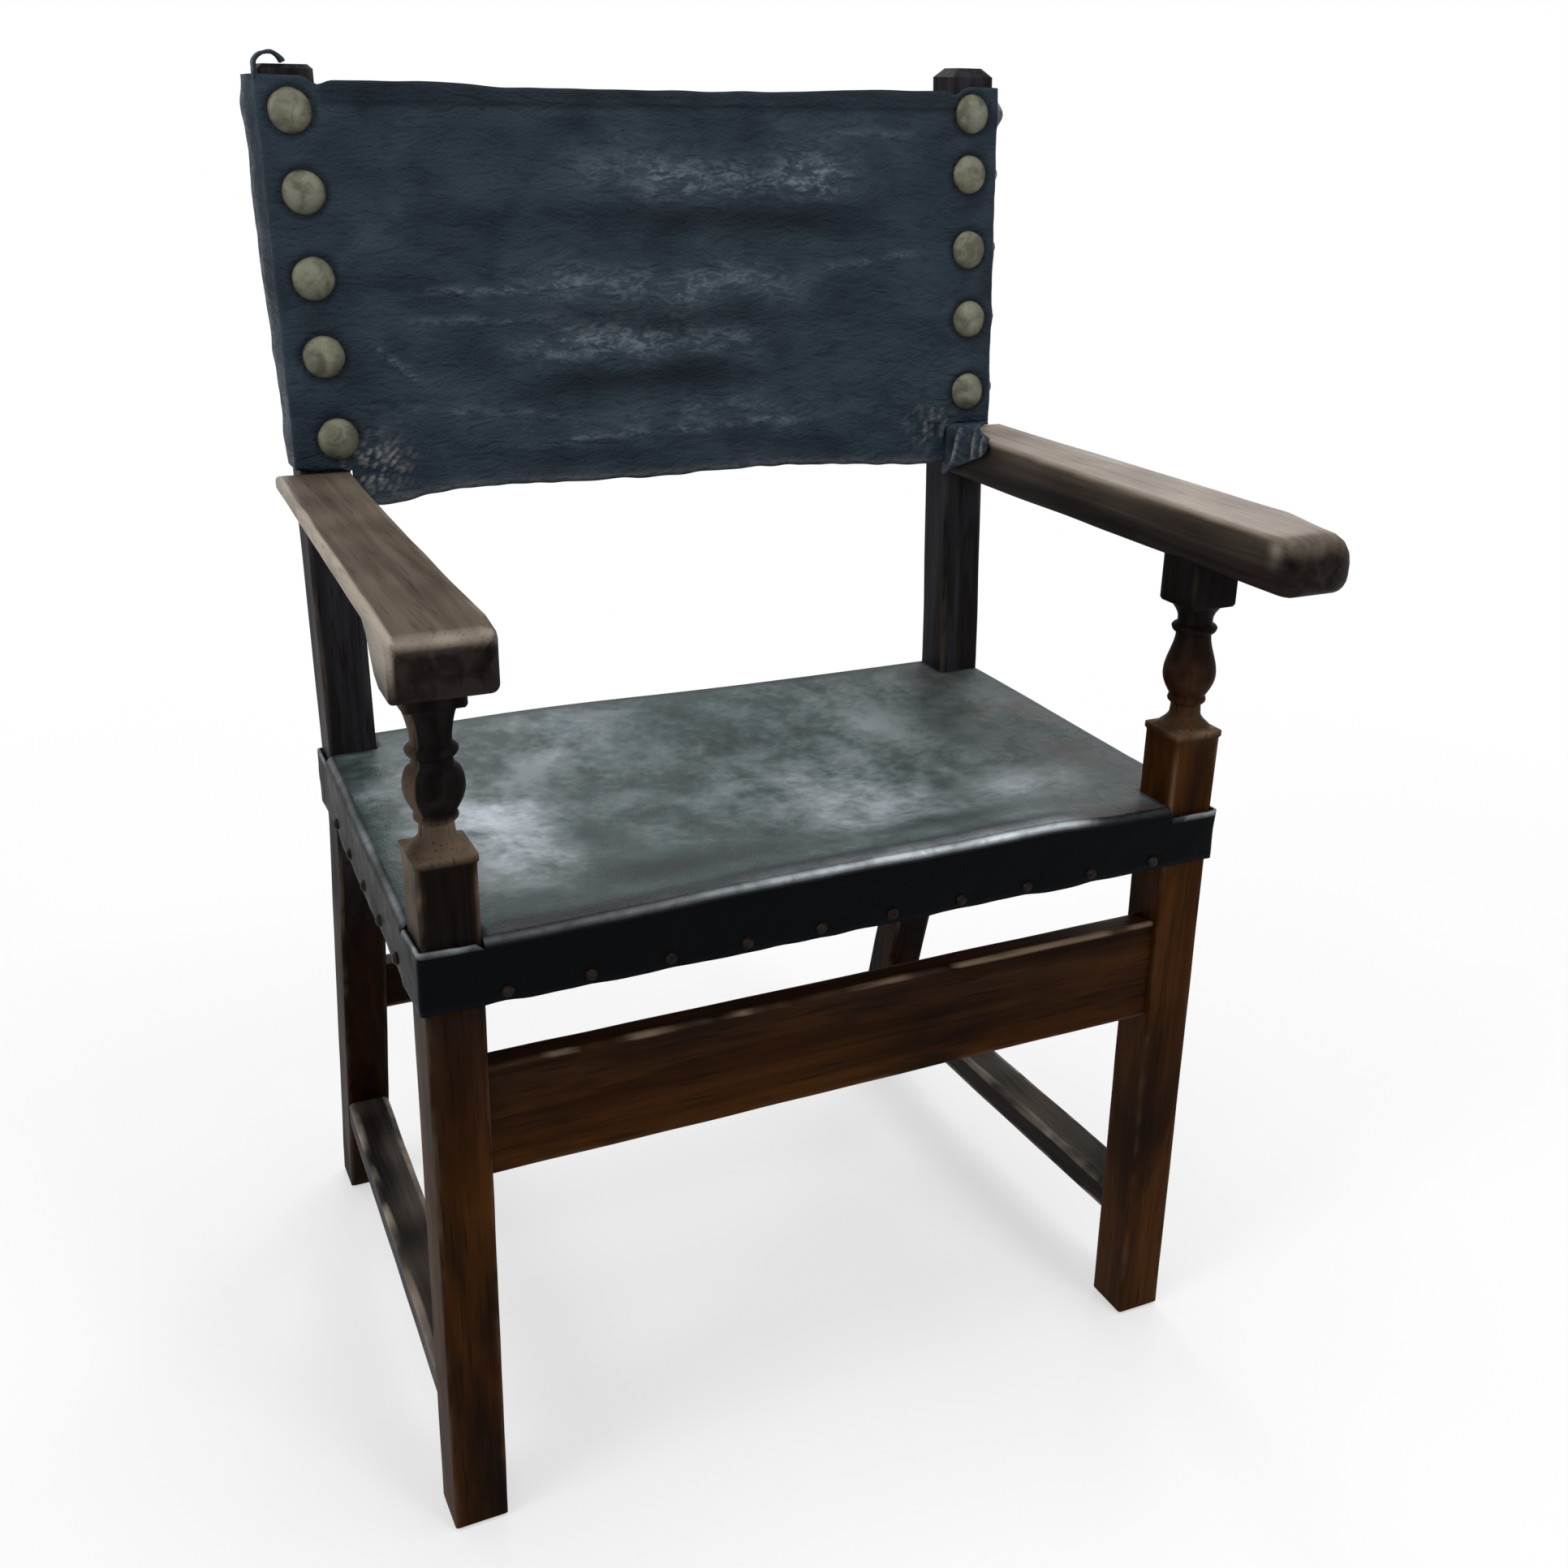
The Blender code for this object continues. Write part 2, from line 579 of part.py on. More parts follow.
def build_back_leather(hide):
    """One hide across both posts: a U in plan that leans with the posts."""
    near = BACK_HALF_WIDTH + GAP
    far = near + BACK_LEATHER
    corner = BACK_CORNER
    plan = [(-far, BACK_FLAP), (-far, -GAP - BACK_LEATHER + corner), (-far + corner, -GAP - BACK_LEATHER),
            (far - corner, -GAP - BACK_LEATHER), (far, -GAP - BACK_LEATHER + corner), (far, BACK_FLAP),
            (near, BACK_FLAP), (near, -GAP), (-near, -GAP), (-near, BACK_FLAP)]
    rings = []
    for z in (BACK_HEM_LOW, BACK_POST_HIGH):
        rings.append([(x, post_front(z) + y, z) for x, y in plan])
    sheet = loft("back_leather", rings, hide)
    wide = far + CUT_CLEAR
    deep = (post_front(BACK_HEM_LOW) - CUT_CLEAR, post_front(BACK_POST_HIGH) + BACK_FLAP + CUT_CLEAR)
    notch = POST_INNER - BACK_NOTCH_INSET
    cutters = [box("under_post", sorted((side * notch, side * wide)), deep,
                   (BACK_HEM_LOW - CUT_CLEAR, BACK_POST_LOW)) for _, side in SIDES]
    slope = BACK_POST_HIGH - BACK_HEM_HIGH
    above = BACK_POST_HIGH + CUT_CLEAR
    profile = [(-notch, above), (-notch, BACK_POST_HIGH), (-notch + slope, BACK_HEM_HIGH),
               (notch - slope, BACK_HEM_HIGH), (notch, BACK_POST_HIGH), (notch, above)]
    cutters.append(loft("above_panel", [[(x, y, z) for x, z in profile] for y in deep]))
    combine(sheet, cutters, "DIFFERENCE")
    return sheet


# Nails and tacks


def nail_profile(radius, dome, rim, shank, length):
    """Radius and height from the crown down to the point; the seating face is at height 0."""
    rows = []
    for i in range(1, DOME_STEPS + 1):
        turn = math.radians(90 * i / DOME_STEPS)
        rows.append((radius * math.sin(turn), rim + dome * math.cos(turn)))
    rows += [(radius, 0.0), (shank, 0.0), (shank, -SHANK_STRAIGHT * length), (POINT_PART * shank, -length)]
    return rows


def build_nail(name, seat, outward, sizes, segments, metal):
    """Domed head and shank on an axis through the seating point."""
    turn = Vector(outward).normalized().to_track_quat("Z", "Y").to_matrix().to_4x4()
    place = Matrix.Translation(Vector(seat)) @ turn
    shape = bmesh.new()
    radius, dome, rim, shank, length = sizes
    crown = shape.verts.new(place @ Vector((0.0, 0.0, rim + dome)))
    rings = []
    for r, z in nail_profile(*sizes):
        ring = []
        for i in range(segments):
            angle = 2 * math.pi * i / segments
            ring.append(shape.verts.new(place @ Vector((r * math.cos(angle), r * math.sin(angle), z))))
        rings.append(ring)
    for i in range(segments):
        shape.faces.new((crown, rings[0][i], rings[0][(i + 1) % segments]))
    for upper, lower in zip(rings, rings[1:]):
        for i in range(segments):
            j = (i + 1) % segments
            shape.faces.new((upper[i], lower[i], lower[j], upper[j]))
    shape.faces.new(rings[-1])
    made = make_object(name, shape, metal)
    shade(made, 50)
    return made


RAKE = math.atan(RAKE_SLOPE)
NAIL_OUTWARD = Vector((0.0, -math.cos(RAKE), math.sin(RAKE)))


def nail_places():
    """Name, point on the face of the back leather and outward direction of each large nail."""
    places = []
    for side_name, side in SIDES:
        for i, (inward, up) in enumerate(NAILS_BY_EYE[side_name]):
            z = NAIL_FIRST + NAIL_PITCH * i + up
            face = Vector((side * (POST_MID - inward), post_front(z), z))
            places.append((f"back_nail_{side_name}_{i + 1}", face, NAIL_OUTWARD))
    return places


def tack_places():
    """Name, point on the face of the rail and outward direction of each small tack."""
    places = []
    reach = LEG_INNER - FRONT_TACK_MARGIN
    for i in range(FRONT_TACKS):
        x = between(-reach, reach, i / (FRONT_TACKS - 1))
        places.append((f"seat_tack_front_{i + 1}", Vector((x, LEG_FRONT, TACK_HEIGHT)), Vector((0, -1, 0))))
    first = LEG_BACK + SIDE_TACK_MARGIN
    last = LEG_FRONT + POST_SETBACK_SEAT - SIDE_TACK_MARGIN
    for side_name, side in SIDES:
        for i in range(SIDE_TACKS):
            y = between(first, last, i / (SIDE_TACKS - 1))
            face = Vector((side * frame_side(y), y, TACK_HEIGHT))
            places.append((f"seat_tack_{side_name}_{i + 1}", face, Vector((side, 0, 0))))
    return places


def build_chair():
    for old in list(bpy.data.objects):
        bpy.data.objects.remove(old)
    dark = make_material("dark_wood", WOOD_DARK, 0.45)
    worn = make_material("worn_wood", WOOD_WORN, 0.55)
    hide_seat = make_material("seat_hide", HIDE_SEAT, 0.45)
    hide_back = make_material("back_hide", HIDE_BACK, 0.55)
    brass = make_material("dull_brass", BRASS_DULL, 0.50, 1.0)
    iron = make_material("dull_iron", IRON_DULL, 0.55, 1.0)

    legs = {side: build_leg(side_name, side, dark) for side_name, side in SIDES}
    posts = {side: build_post(side_name, side, dark) for side_name, side in SIDES}
    arms = {side: build_arm(side_name, side, worn) for side_name, side in SIDES}
    crosses = {row[0]: build_cross(*row, dark) for row in CROSS_MEMBERS}
    rails = {side: build_side_rail(side_name, side, dark) for side_name, side in SIDES}
    bars = {side: build_side_bar(side_name, side, worn) for side_name, side in SIDES}
    seat = build_seat_leather(hide_seat)
    back = build_back_leather(hide_back)

    # Mortises and nail holes, gathered for each piece that is cut
    cuts = {}
    for _, side in SIDES:
        cuts[legs[side]] = [side_rail_tenon(side, False, GAP, MORTISE_SPARE),
                            side_bar_tenon(side, False, GAP, MORTISE_SPARE)]
        cuts[posts[side]] = [side_rail_tenon(side, True, GAP, MORTISE_SPARE),
                             side_bar_tenon(side, True, GAP, MORTISE_SPARE),
                             arm_tenon(side, GAP, MORTISE_SPARE)]
        for _, face, _, _, tenon_y, tenon_z, _ in CROSS_MEMBERS:
            upright = legs[side] if face == LEG_INNER else posts[side]
            cuts[upright].append(cross_tenon(side, face, tenon_y, tenon_z, GAP, MORTISE_SPARE))

    # Large nails through the back leather into the posts
    nail_sizes = (NAIL_RADIUS, NAIL_DOME, NAIL_RIM, NAIL_SHANK, NAIL_LENGTH)
    for name, face, outward in nail_places():
        lift = BACK_LEATHER + 2 * GAP
        build_nail(name, face + outward * lift, outward, nail_sizes, NAIL_SEGMENTS, brass)
        depth = DRILL_CLEAR + NAIL_LENGTH - lift + MORTISE_SPARE
        for target in (posts[1 if face.x > 0 else -1], back):
            hole = drill("hole", NAIL_SHANK + GAP, face + outward * DRILL_CLEAR, -outward, depth)
            cuts.setdefault(target, []).append(hole)

    # Small tacks through the seat leather into the rails
    tack_sizes = (TACK_RADIUS, TACK_DOME, TACK_RIM, TACK_SHANK, TACK_LENGTH)
    for name, face, outward in tack_places():
        lift = SEAT_LEATHER + 2 * GAP
        build_nail(name, face + outward * lift, outward, tack_sizes, TACK_SEGMENTS, iron)
        depth = DRILL_CLEAR + TACK_LENGTH - lift + MORTISE_SPARE
        rail = rails[1 if outward.x > 0 else -1] if outward.x else crosses["seat_rail_front"]
        for target in (rail, seat):
            hole = drill("hole", TACK_SHANK + GAP, face + outward * DRILL_CLEAR, -outward, depth, 8)
            cuts.setdefault(target, []).append(hole)

    for target, tools in cuts.items():
        combine(target, tools, "DIFFERENCE")
    for group in (legs, posts, arms, crosses, rails, bars):
        for piece in group.values():
            shade(piece)
    shade(seat)
    shade(back)


build_chair()
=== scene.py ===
import math

import bmesh
import bpy
from mathutils import Matrix, Vector, noise


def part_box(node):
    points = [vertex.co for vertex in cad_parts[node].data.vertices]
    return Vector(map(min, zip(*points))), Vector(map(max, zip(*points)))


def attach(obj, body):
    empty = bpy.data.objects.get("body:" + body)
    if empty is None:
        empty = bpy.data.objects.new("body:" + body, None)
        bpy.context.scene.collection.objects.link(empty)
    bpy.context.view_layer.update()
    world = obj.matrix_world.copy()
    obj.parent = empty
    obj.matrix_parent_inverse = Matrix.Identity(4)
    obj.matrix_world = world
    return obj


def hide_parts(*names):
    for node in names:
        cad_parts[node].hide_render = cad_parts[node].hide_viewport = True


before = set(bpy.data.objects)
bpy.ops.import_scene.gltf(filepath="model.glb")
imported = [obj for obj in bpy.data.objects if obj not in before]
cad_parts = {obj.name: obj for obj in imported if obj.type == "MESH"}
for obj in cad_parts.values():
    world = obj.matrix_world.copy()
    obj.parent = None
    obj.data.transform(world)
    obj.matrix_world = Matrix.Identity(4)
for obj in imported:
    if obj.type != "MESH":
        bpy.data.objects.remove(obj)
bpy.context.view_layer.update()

# Lengths are in metres. The chair faces -Y and stands on the floor at z = 0.
# Where a table goes by side, -1 is the left half of the chair and 1 the right half.

SIDES = (("left", -1), ("right", 1))
LEFT = Vector((-1, 0, 0))
RIGHT = Vector((1, 0, 0))
FRONT = Vector((0, -1, 0))
REAR = Vector((0, 1, 0))
UP = Vector((0, 0, 1))

# Places read from the frame
leg_low, leg_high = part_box("front_leg_right")
post_low, post_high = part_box("back_post_right")
arm_low, arm_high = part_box("arm_right")
board_low, board_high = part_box("front_stretcher")
rear_low, rear_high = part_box("rear_stretcher")
bar_low, bar_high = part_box("side_stretcher_right")
seat_low, seat_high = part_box("seat_leather")
back_low, back_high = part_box("back_leather")

# Sticks
STATION = 0.010
UNEVEN = 0.00035
LET_IN = 0.004
LEG = 0.040
LEG_X = (leg_low.x + leg_high.x) / 2
LEG_Y = (leg_low.y + leg_high.y) / 2
LEG_FRONT = LEG_Y - LEG / 2
LEG_BACK = LEG_Y + LEG / 2
LEG_INNER = LEG_X - LEG / 2
LEG_OUTER = LEG_X + LEG / 2
LEG_SPLAY = 0.006
BLOCK_TOP = 0.545
FOOT_CHAMFER = 0.003
POST_DEPTH = 0.038
POST_INNER = post_low.x
POST_OUTER = post_high.x
POST_X = (POST_INNER + POST_OUTER) / 2
POST_SEAT = post_low.y
POST_FOOT = post_high.y - POST_DEPTH
POST_STRAIGHT_LOW = 0.425
POST_STRAIGHT_HIGH = 0.500
POST_RAKE = 0.0596
POST_EDGE = 0.0022
POST_TOPS = {side_name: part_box("back_post_" + side_name)[1].z for side_name, side in SIDES}
POST_CHAMFERS = {"left": 0.003, "right": 0.007}
BAR_WIDTH = 0.036
BAR_EDGE = 0.0042
BOARD_EDGE = 0.0022
REAR_BAR_EDGE = 0.0025

# Arms
ARM_TOP = arm_high.z
ARM_LOW = arm_low.z
ARM_NOSE = arm_low.y
ARM_EDGES_FRONT = (LEG_INNER - 0.001, arm_high.x)
ARM_EDGES_BACK = (POST_INNER, POST_OUTER + 0.019)
ARM_EDGE = 0.0034
ARM_END_GAP = 0.0003
LEFT_BOW = 0.0026
UNDERCUT = 0.031
UNDERCUT_START = ARM_NOSE + 0.028
UNDERCUT_FULL = ARM_NOSE + 0.074
NOSE_AHEAD = {-1: 0.0, 1: 0.018}
NOSE_RISES = {-1: 0.008, 1: 0.019}
NOSE_RUNS = {-1: 0.008, 1: 0.024}
NOSE_UNDER_RISES = {-1: 0.006, 1: 0.009}
NOSE_UNDER_RUNS = {-1: 0.006, 1: 0.009}
NOSE_CORNERS = {-1: (0.003, 0.012), 1: (0.016, 0.030)}
NOSE_OUTER_RADII = (0.019, 0.011)
NOSE_OUTER_REACH = 0.085
NOSE_INNER_RADIUS = 0.0095
NOSE_INNER_REACH = 0.050
NOSE_STEPS = 11
NOSE_SHARES = (0.6, 0.93)
# How pale an arm's top is in front and behind, rubbed and with a painted sheen
ARM_RUB_SHEENS = {-1: (0.43, 0.41), 1: (0.84, 0.80)}
# Depths under the top where the rubbed, painted sheen begins and is full, at the nose and behind it
NOSE_RUB_DEPTHS = {-1: (0.010, 0.006), 1: (0.014, 0.002)}
ARM_RUB_DEPTHS = (0.006, 0.001)
# How much of the rubbed, painted sheen is left at the tip
NOSE_RUB_SHEENS = {-1: 1.0, 1: 0.35}

# Leather
SKIN = 0.0033
HIDE_THICK = 0.0024
SEAT_TOP = seat_high.z
SKIRT_LOW = seat_low.z
SEAT_FRONT = LEG_FRONT - SKIN
SEAT_BACK = seat_high.y - SKIN
SEAT_REAR = SEAT_BACK + SKIN
SEAT_ROLL = 0.007
SEAT_CORNER = 0.0035
BACK_HEM_LOW = back_low.z
BACK_POST_LOW = ARM_TOP + 0.003
BACK_POST_HIGH = back_high.z
BACK_HEM_HIGH = BACK_POST_HIGH - 0.006
BACK_NOTCH = POST_INNER - 0.0008
BACK_FLAP = 0.033
BACK_CORNER = 0.0035
BACK_BOW = 0.007

# Heads of nails and tacks: radius, height of the dome and height of the rim
NAIL_RADIUS = 0.0160
NAIL_HEAD = (0.0155, 0.0048, 0.0015)
TACK_HEAD = (0.0046, 0.0024, 0.0006)
DOME_POWER = 3.0

# Camera: where it stands, how far it turns from +Y to +X, looks down and leans, in degrees
CAMERA_PLACE = Vector((-0.5027, LEG_FRONT - 0.9453, 0.9890))
CAMERA_TURN = 25.19
CAMERA_DOWN = 22.37
CAMERA_LEAN = -0.952
CAMERA_LENS = 38.44

# Floor and lights; each light has a name, a place, a point it is aimed at, a width, a height and a power
FLOOR_HALF = 9.0
FLOOR_FADE_LEAST = 0.5
FLOOR_FADE_START = 0.75
FLOOR_FADE_END = 1.9
AMBIENT = 0.50
LIGHTS = (
    ("ceiling", (0.3, 0.0, 3.2), (0.0, 0.0, 0.5), 2.4, 2.4, 34),
    ("key", (-2.6, -0.8, 2.2), (0.0, 0.0, 0.5), 1.2, 1.2, 26),
    ("front", (0.9, -2.4, 2.2), (0.0, 0.0, 0.7), 0.8, 0.8, 22),
    ("window_left", (0.45, 2.9, 1.85), (0.0, 0.0, 0.5), 1.1, 0.9, 22),
    ("window_right", (2.6, 2.6, 1.5), (0.2, 0.0, 0.7), 0.9, 0.9, 12),
)

# Colours, linear
WOOD_BLACK = (0.0030, 0.0019, 0.0017)
WOOD_BROWN = (0.0170, 0.0053, 0.0010)
WOOD_WARM = (0.0500, 0.0172, 0.0028)
WOOD_COOL = (0.0085, 0.0072, 0.0074)
# Grey painted sheen on the back posts
WOOD_GREY_SHEEN = (0.0260, 0.0260, 0.0320)
WOOD_EDGE = (0.2300, 0.1620, 0.1080)
ARM_DARK = (0.0200, 0.0140, 0.0120)
ARM_BROWN = (0.0820, 0.0640, 0.0460)
# Rubbed arm top colour, partly painted sheen
ARM_WORN_SHEEN = (0.1500, 0.1200, 0.0930)
ARM_PALE = (0.3600, 0.3050, 0.2500)
SEAT_DARK = (0.0016, 0.0022, 0.0030)
SEAT_MID = (0.0560, 0.0760, 0.0790)
# Rubbed seat colours, partly painted sheen
SEAT_WORN_SHEEN = (0.1500, 0.1780, 0.1860)
SEAT_PALE_SHEEN = (0.4400, 0.4850, 0.5300)
SEAT_BROWN = (0.0800, 0.0700, 0.0630)
# Pale fold line: rubbed leather with a painted highlight
SEAT_FOLD_GLINT = (0.6800, 0.7400, 0.7800)
BACK_DARK = (0.0100, 0.0165, 0.0250)
BACK_MID = (0.0255, 0.0380, 0.0525)
# Painted sheen and painted highlight of the back hide
BACK_PAINTED_SHEEN = (0.0540, 0.0740, 0.0970)
BACK_PAINTED_HIGHLIGHT = (0.1350, 0.1600, 0.1830)
# Painted shade of the back hide
BACK_PAINTED_SHADE = (0.0050, 0.0075, 0.0100)
# Frayed leather with a painted highlight on fold crests
BACK_FRAY_GLINT = (0.2600, 0.2500, 0.2400)
BRASS_DULL = (0.1450, 0.1450, 0.1050)
BRASS_DARK = (0.0880, 0.0860, 0.0640)
BRASS_PALE = (0.1800, 0.1830, 0.1480)
IRON_DARK = (0.0070, 0.0050, 0.0042)
IRON_PALE = (0.0210, 0.0150, 0.0125)
FLOOR_PALE = (0.9000, 0.9000, 0.9000)
WHITE = (1.0, 1.0, 1.0)


# Shared arithmetic


def between(low, high, part):
    return low + (high - low) * part


def clamp(value, low=0.0, high=1.0):
    return min(max(value, low), high)


def side_of(x):
    return -1 if x < 0 else 1


def ramp(value, start, end):
    """0 at start and 1 at end, level at both."""
    part = clamp((value - start) / (end - start))
    return part * part * (3 - 2 * part)


def hill(value, middle, width):
    """1 at the middle, falling smoothly to 0 on both sides."""
    return math.exp(-((value - middle) / width) ** 2)


def wobble(point, size, seed=0):
    """Smooth noise from about -1 to 1, with features of the given size."""
    return noise.noise(Vector(point) / size + Vector((7.31, -3.17, 1.93)) * seed)


def waves(point, layers):
    """Sum of wobbles, each given as (height, size, seed)."""
    return sum(height * wobble(point, size, seed) for height, size, seed in layers)


def patchy(middle, swing, point, size, seed):
    """A share from 0 to 1 that wobbles about its middle."""
    return clamp(middle + swing * wobble(point, size, seed))


def spaced(low, high, step):
    """Evenly spaced values from low to high, about a step apart."""
    count = max(1, round(abs(high - low) / step))
    return [between(low, high, i / count) for i in range(count + 1)]


def post_front(z):
    """Y of a back post's front face."""
    if z < POST_STRAIGHT_LOW:
        return between(POST_FOOT, POST_SEAT, z / POST_STRAIGHT_LOW)
    return POST_SEAT + POST_RAKE * max(0.0, z - POST_STRAIGHT_HIGH)


def leg_splay(z):
    """How far a front leg stands outward of plumb below the seat."""
    return LEG_SPLAY * clamp(1 - z / SKIRT_LOW)


def seat_depth(y):
    """0 at the front legs' backs and 1 at the posts' fronts."""
    return clamp((y - LEG_BACK) / (POST_SEAT - LEG_BACK))


def frame_side(y):
    """X of the seat frame's outer face."""
    return between(LEG_OUTER, POST_OUTER, seat_depth(y))


def middle_of(name):
    low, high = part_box(name)
    return (low + high) / 2


# Materials


class Paint:
    """The nodes of one material or world, built from short calls."""

    def __init__(self, owner, surface, fixed):
        owner.use_nodes = True
        self.owner = owner
        self.tree = owner.node_tree
        self.surface = self.tree.nodes[surface]
        for socket, value in fixed.items():
            self.surface.inputs[socket].default_value = value

    def node(self, kind, inputs, **settings):
        made = self.tree.nodes.new("ShaderNode" + kind)
        for name, value in settings.items():
            setattr(made, name, value)
        for socket, value in inputs.items():
            self.feed(made.inputs[socket], value)
        return made

    def feed(self, socket, value):
        if isinstance(value, bpy.types.NodeSocket):
            self.tree.links.new(value, socket)
        else:
            socket.default_value = value

    def place(self):
        return self.node("TexCoord", {}).outputs["Object"]

    def along(self, axis):
        return self.node("SeparateXYZ", {"Vector": self.place()}).outputs[axis]

    def noise(self, per_metre, detail=3.0, distortion=0.0, seed=0.0):
        """Noise over the piece, with so many features per metre along X, Y and Z."""
        moved = {"Vector": self.place(), "Location": (seed, seed, seed), "Scale": per_metre}
        mapped = self.node("Mapping", moved).outputs["Vector"]
        settings = {"Vector": mapped, "Scale": 1.0, "Detail": detail, "Distortion": distortion}
        return self.node("TexNoise", settings).outputs[0]

    def cells(self, per_metre):
        """Distance from the nearest of scattered points, so many per metre."""
        return self.node("TexVoronoi", {"Vector": self.place(), "Scale": per_metre}).outputs["Distance"]

    def spread(self, value, low, high, to_low=0.0, to_high=1.0):
        """A value stretched from one span to another, and held at its ends."""
        return self.node("MapRange", {"Value": value, "From Min": low, "From Max": high,
                                      "To Min": to_low, "To Max": to_high}).outputs[0]

    def math(self, operation, first, second):
        return self.node("Math", {0: first, 1: second}, operation=operation).outputs[0]

    def times(self, first, second):
        return self.math("MULTIPLY", first, second)

    def blend(self, *shares):
        """Sum of values, each given as (value, share)."""
        total, *others = [self.times(value, share) for value, share in shares]
        for other in others:
            total = self.math("ADD", total, other)
        return total

    def mix(self, part, first, second):
        """Colour between two colours."""
        colours = [c if isinstance(c, bpy.types.NodeSocket) else (*c, 1.0) for c in (first, second)]
        return self.node("Mix", {0: part, 6: colours[0], 7: colours[1]}, data_type="RGBA").outputs[2]

    def layered(self, colour, *layers):
        """A colour with others laid over it in turn, each given as (how much, colour)."""
        for part, over in layers:
            colour = self.mix(part, colour, over)
        return colour

    def mark(self, name):
        """A value kept on the mesh's points."""
        return self.node("Attribute", {}, attribute_name=name).outputs["Fac"]

    def bump(self, layers):
        """Relief from (height, distance in metres) layers, coarse to fine."""
        normal = None
        for height, distance in layers:
            inputs = {"Height": height, "Distance": distance, "Strength": 1.0}
            if normal:
                inputs["Normal"] = normal
            normal = self.node("Bump", inputs).outputs["Normal"]
        self.feed(self.surface.inputs["Normal"], normal)

    def finish(self, colour, roughness):
        self.feed(self.surface.inputs["Base Color"], colour)
        self.feed(self.surface.inputs["Roughness"], roughness)
        return self.owner


def new_paint(name, fixed):
    """The nodes of a new material."""
    return Paint(bpy.data.materials.new(name), "Principled BSDF", fixed)


def stretched(axis, across, along):
    """Noise scale with features drawn out along one axis."""
    return tuple(along if i == axis else across for i in range(3))


def dark_wood(name, axis, seed, low_colours=(WOOD_BROWN, WOOD_WARM), high_colours=(WOOD_BLACK, WOOD_COOL),
              turn=(0.30, 0.48)):
    """Dark stained wood, brown low down, near black above, pale where it is rubbed, with a painted highlight
    on the front legs' outer sides.
    """
    paint = new_paint(name, {"Specular IOR Level": 0.022})
    streaks = paint.noise(stretched(axis, 70, 4), 5.0, 0.8, seed)
    patches = paint.noise(stretched(axis, 16, 6), 3.0, 0.4, seed + 3)
    pores = paint.noise(stretched(axis, 520, 22), 2.0, 0.0, seed + 5)
    low = paint.mix(paint.spread(streaks, 0.28, 0.72), *low_colours)
    high = paint.mix(paint.spread(streaks, 0.38, 0.68), *high_colours)
    colour = paint.layered(
        paint.mix(paint.spread(patches, 0.48, 0.74), low, WOOD_BLACK),
        (paint.spread(paint.along("Z"), *turn),
         paint.mix(paint.spread(patches, 0.55, 0.75, 0.0, 0.2), high, WOOD_BROWN)),
        (paint.times(paint.mark("wear"), paint.spread(patches, 0.35, 0.60, 0.35, 1.0)), WOOD_EDGE),
        (paint.spread(pores, 0.30, 0.42, 0.6, 0.0), WOOD_BLACK),
    )
    paint.bump([(streaks, 0.0006), (pores, 0.0003)])
    return paint.finish(colour, paint.spread(patches, 0.3, 0.7, 0.40, 0.60))


def arm_wood(name, axis, seed):
    """Dark wood rubbed pale on top by hands or feet; on the arms the pale top is also a painted sheen."""
    paint = new_paint(name, {"Specular IOR Level": 0.04})
    streaks = paint.noise(stretched(axis, 80, 4), 6.0, 0.7, seed)
    patches = paint.noise(stretched(axis, 26, 9), 4.0, 0.5, seed + 3)
    pores = paint.noise(stretched(axis, 520, 24), 2.0, 0.0, seed + 5)
    rub = paint.mark("rub")
    colour = paint.layered(
        paint.mix(paint.spread(streaks, 0.36, 0.68), WOOD_BLACK, ARM_DARK),
        # Rubbed top with a painted sheen
        (paint.spread(rub, 0.0, 0.6), paint.mix(paint.spread(streaks, 0.34, 0.62), ARM_BROWN, ARM_WORN_SHEEN)),
        (paint.times(paint.spread(rub, 0.6, 1.1), paint.spread(patches, 0.32, 0.66, 0.6, 1.0)), ARM_PALE),
        (paint.times(paint.mark("wear"), paint.spread(patches, 0.32, 0.58, 0.45, 1.0)), ARM_PALE),
        (paint.spread(pores, 0.30, 0.42, 0.30, 0.0), WOOD_BLACK),
    )
    paint.bump([(streaks, 0.0006), (pores, 0.0004)])
    return paint.finish(colour, paint.spread(patches, 0.3, 0.7, 0.38, 0.58))


def seat_hide():
    """Smooth black hide, rubbed pale and mottled where it is sat on, with a painted sheen on its pale
    patches and a painted highlight along its rubbed fold.
    """
    paint = new_paint("seat_hide", {"Specular IOR Level": 0.03, "IOR": 1.45})
    clouds = paint.noise((17, 15, 17), 5.0, 0.5)
    specks = paint.noise((110, 130, 110), 5.0, 0.4, 4.0)
    scuffs = paint.noise((44, 40, 40), 5.0, 0.6, 9.0)
    mottled = paint.blend((clouds, 0.54), (specks, 0.20), (scuffs, 0.26))
    worn_and_sheen = paint.times(paint.mark("worn_and_sheen"), paint.spread(mottled, 0.39, 0.61, 0.48, 1.45))
    colour = paint.layered(
        SEAT_DARK,
        # Rubbed patches, with painted sheen in the paler ones
        (paint.spread(worn_and_sheen, 0.0, 0.38), SEAT_MID),
        (paint.spread(worn_and_sheen, 0.38, 0.72), SEAT_WORN_SHEEN),
        (paint.spread(worn_and_sheen, 0.72, 1.50), SEAT_PALE_SHEEN),
        (paint.times(paint.mark("brown"), paint.spread(scuffs, 0.36, 0.64, 0.25, 0.9)), SEAT_BROWN),
        # Pale fold: rubbed leather with a painted highlight
        (paint.times(paint.mark("edge"), paint.spread(specks, 0.34, 0.54, 0.7, 1.0)), SEAT_FOLD_GLINT),
    )
    paint.bump([(clouds, 0.0012), (scuffs, 0.0005), (paint.cells(620), 0.00025)])
    return paint.finish(colour, paint.spread(mottled, 0.40, 0.60, 0.38, 0.50))


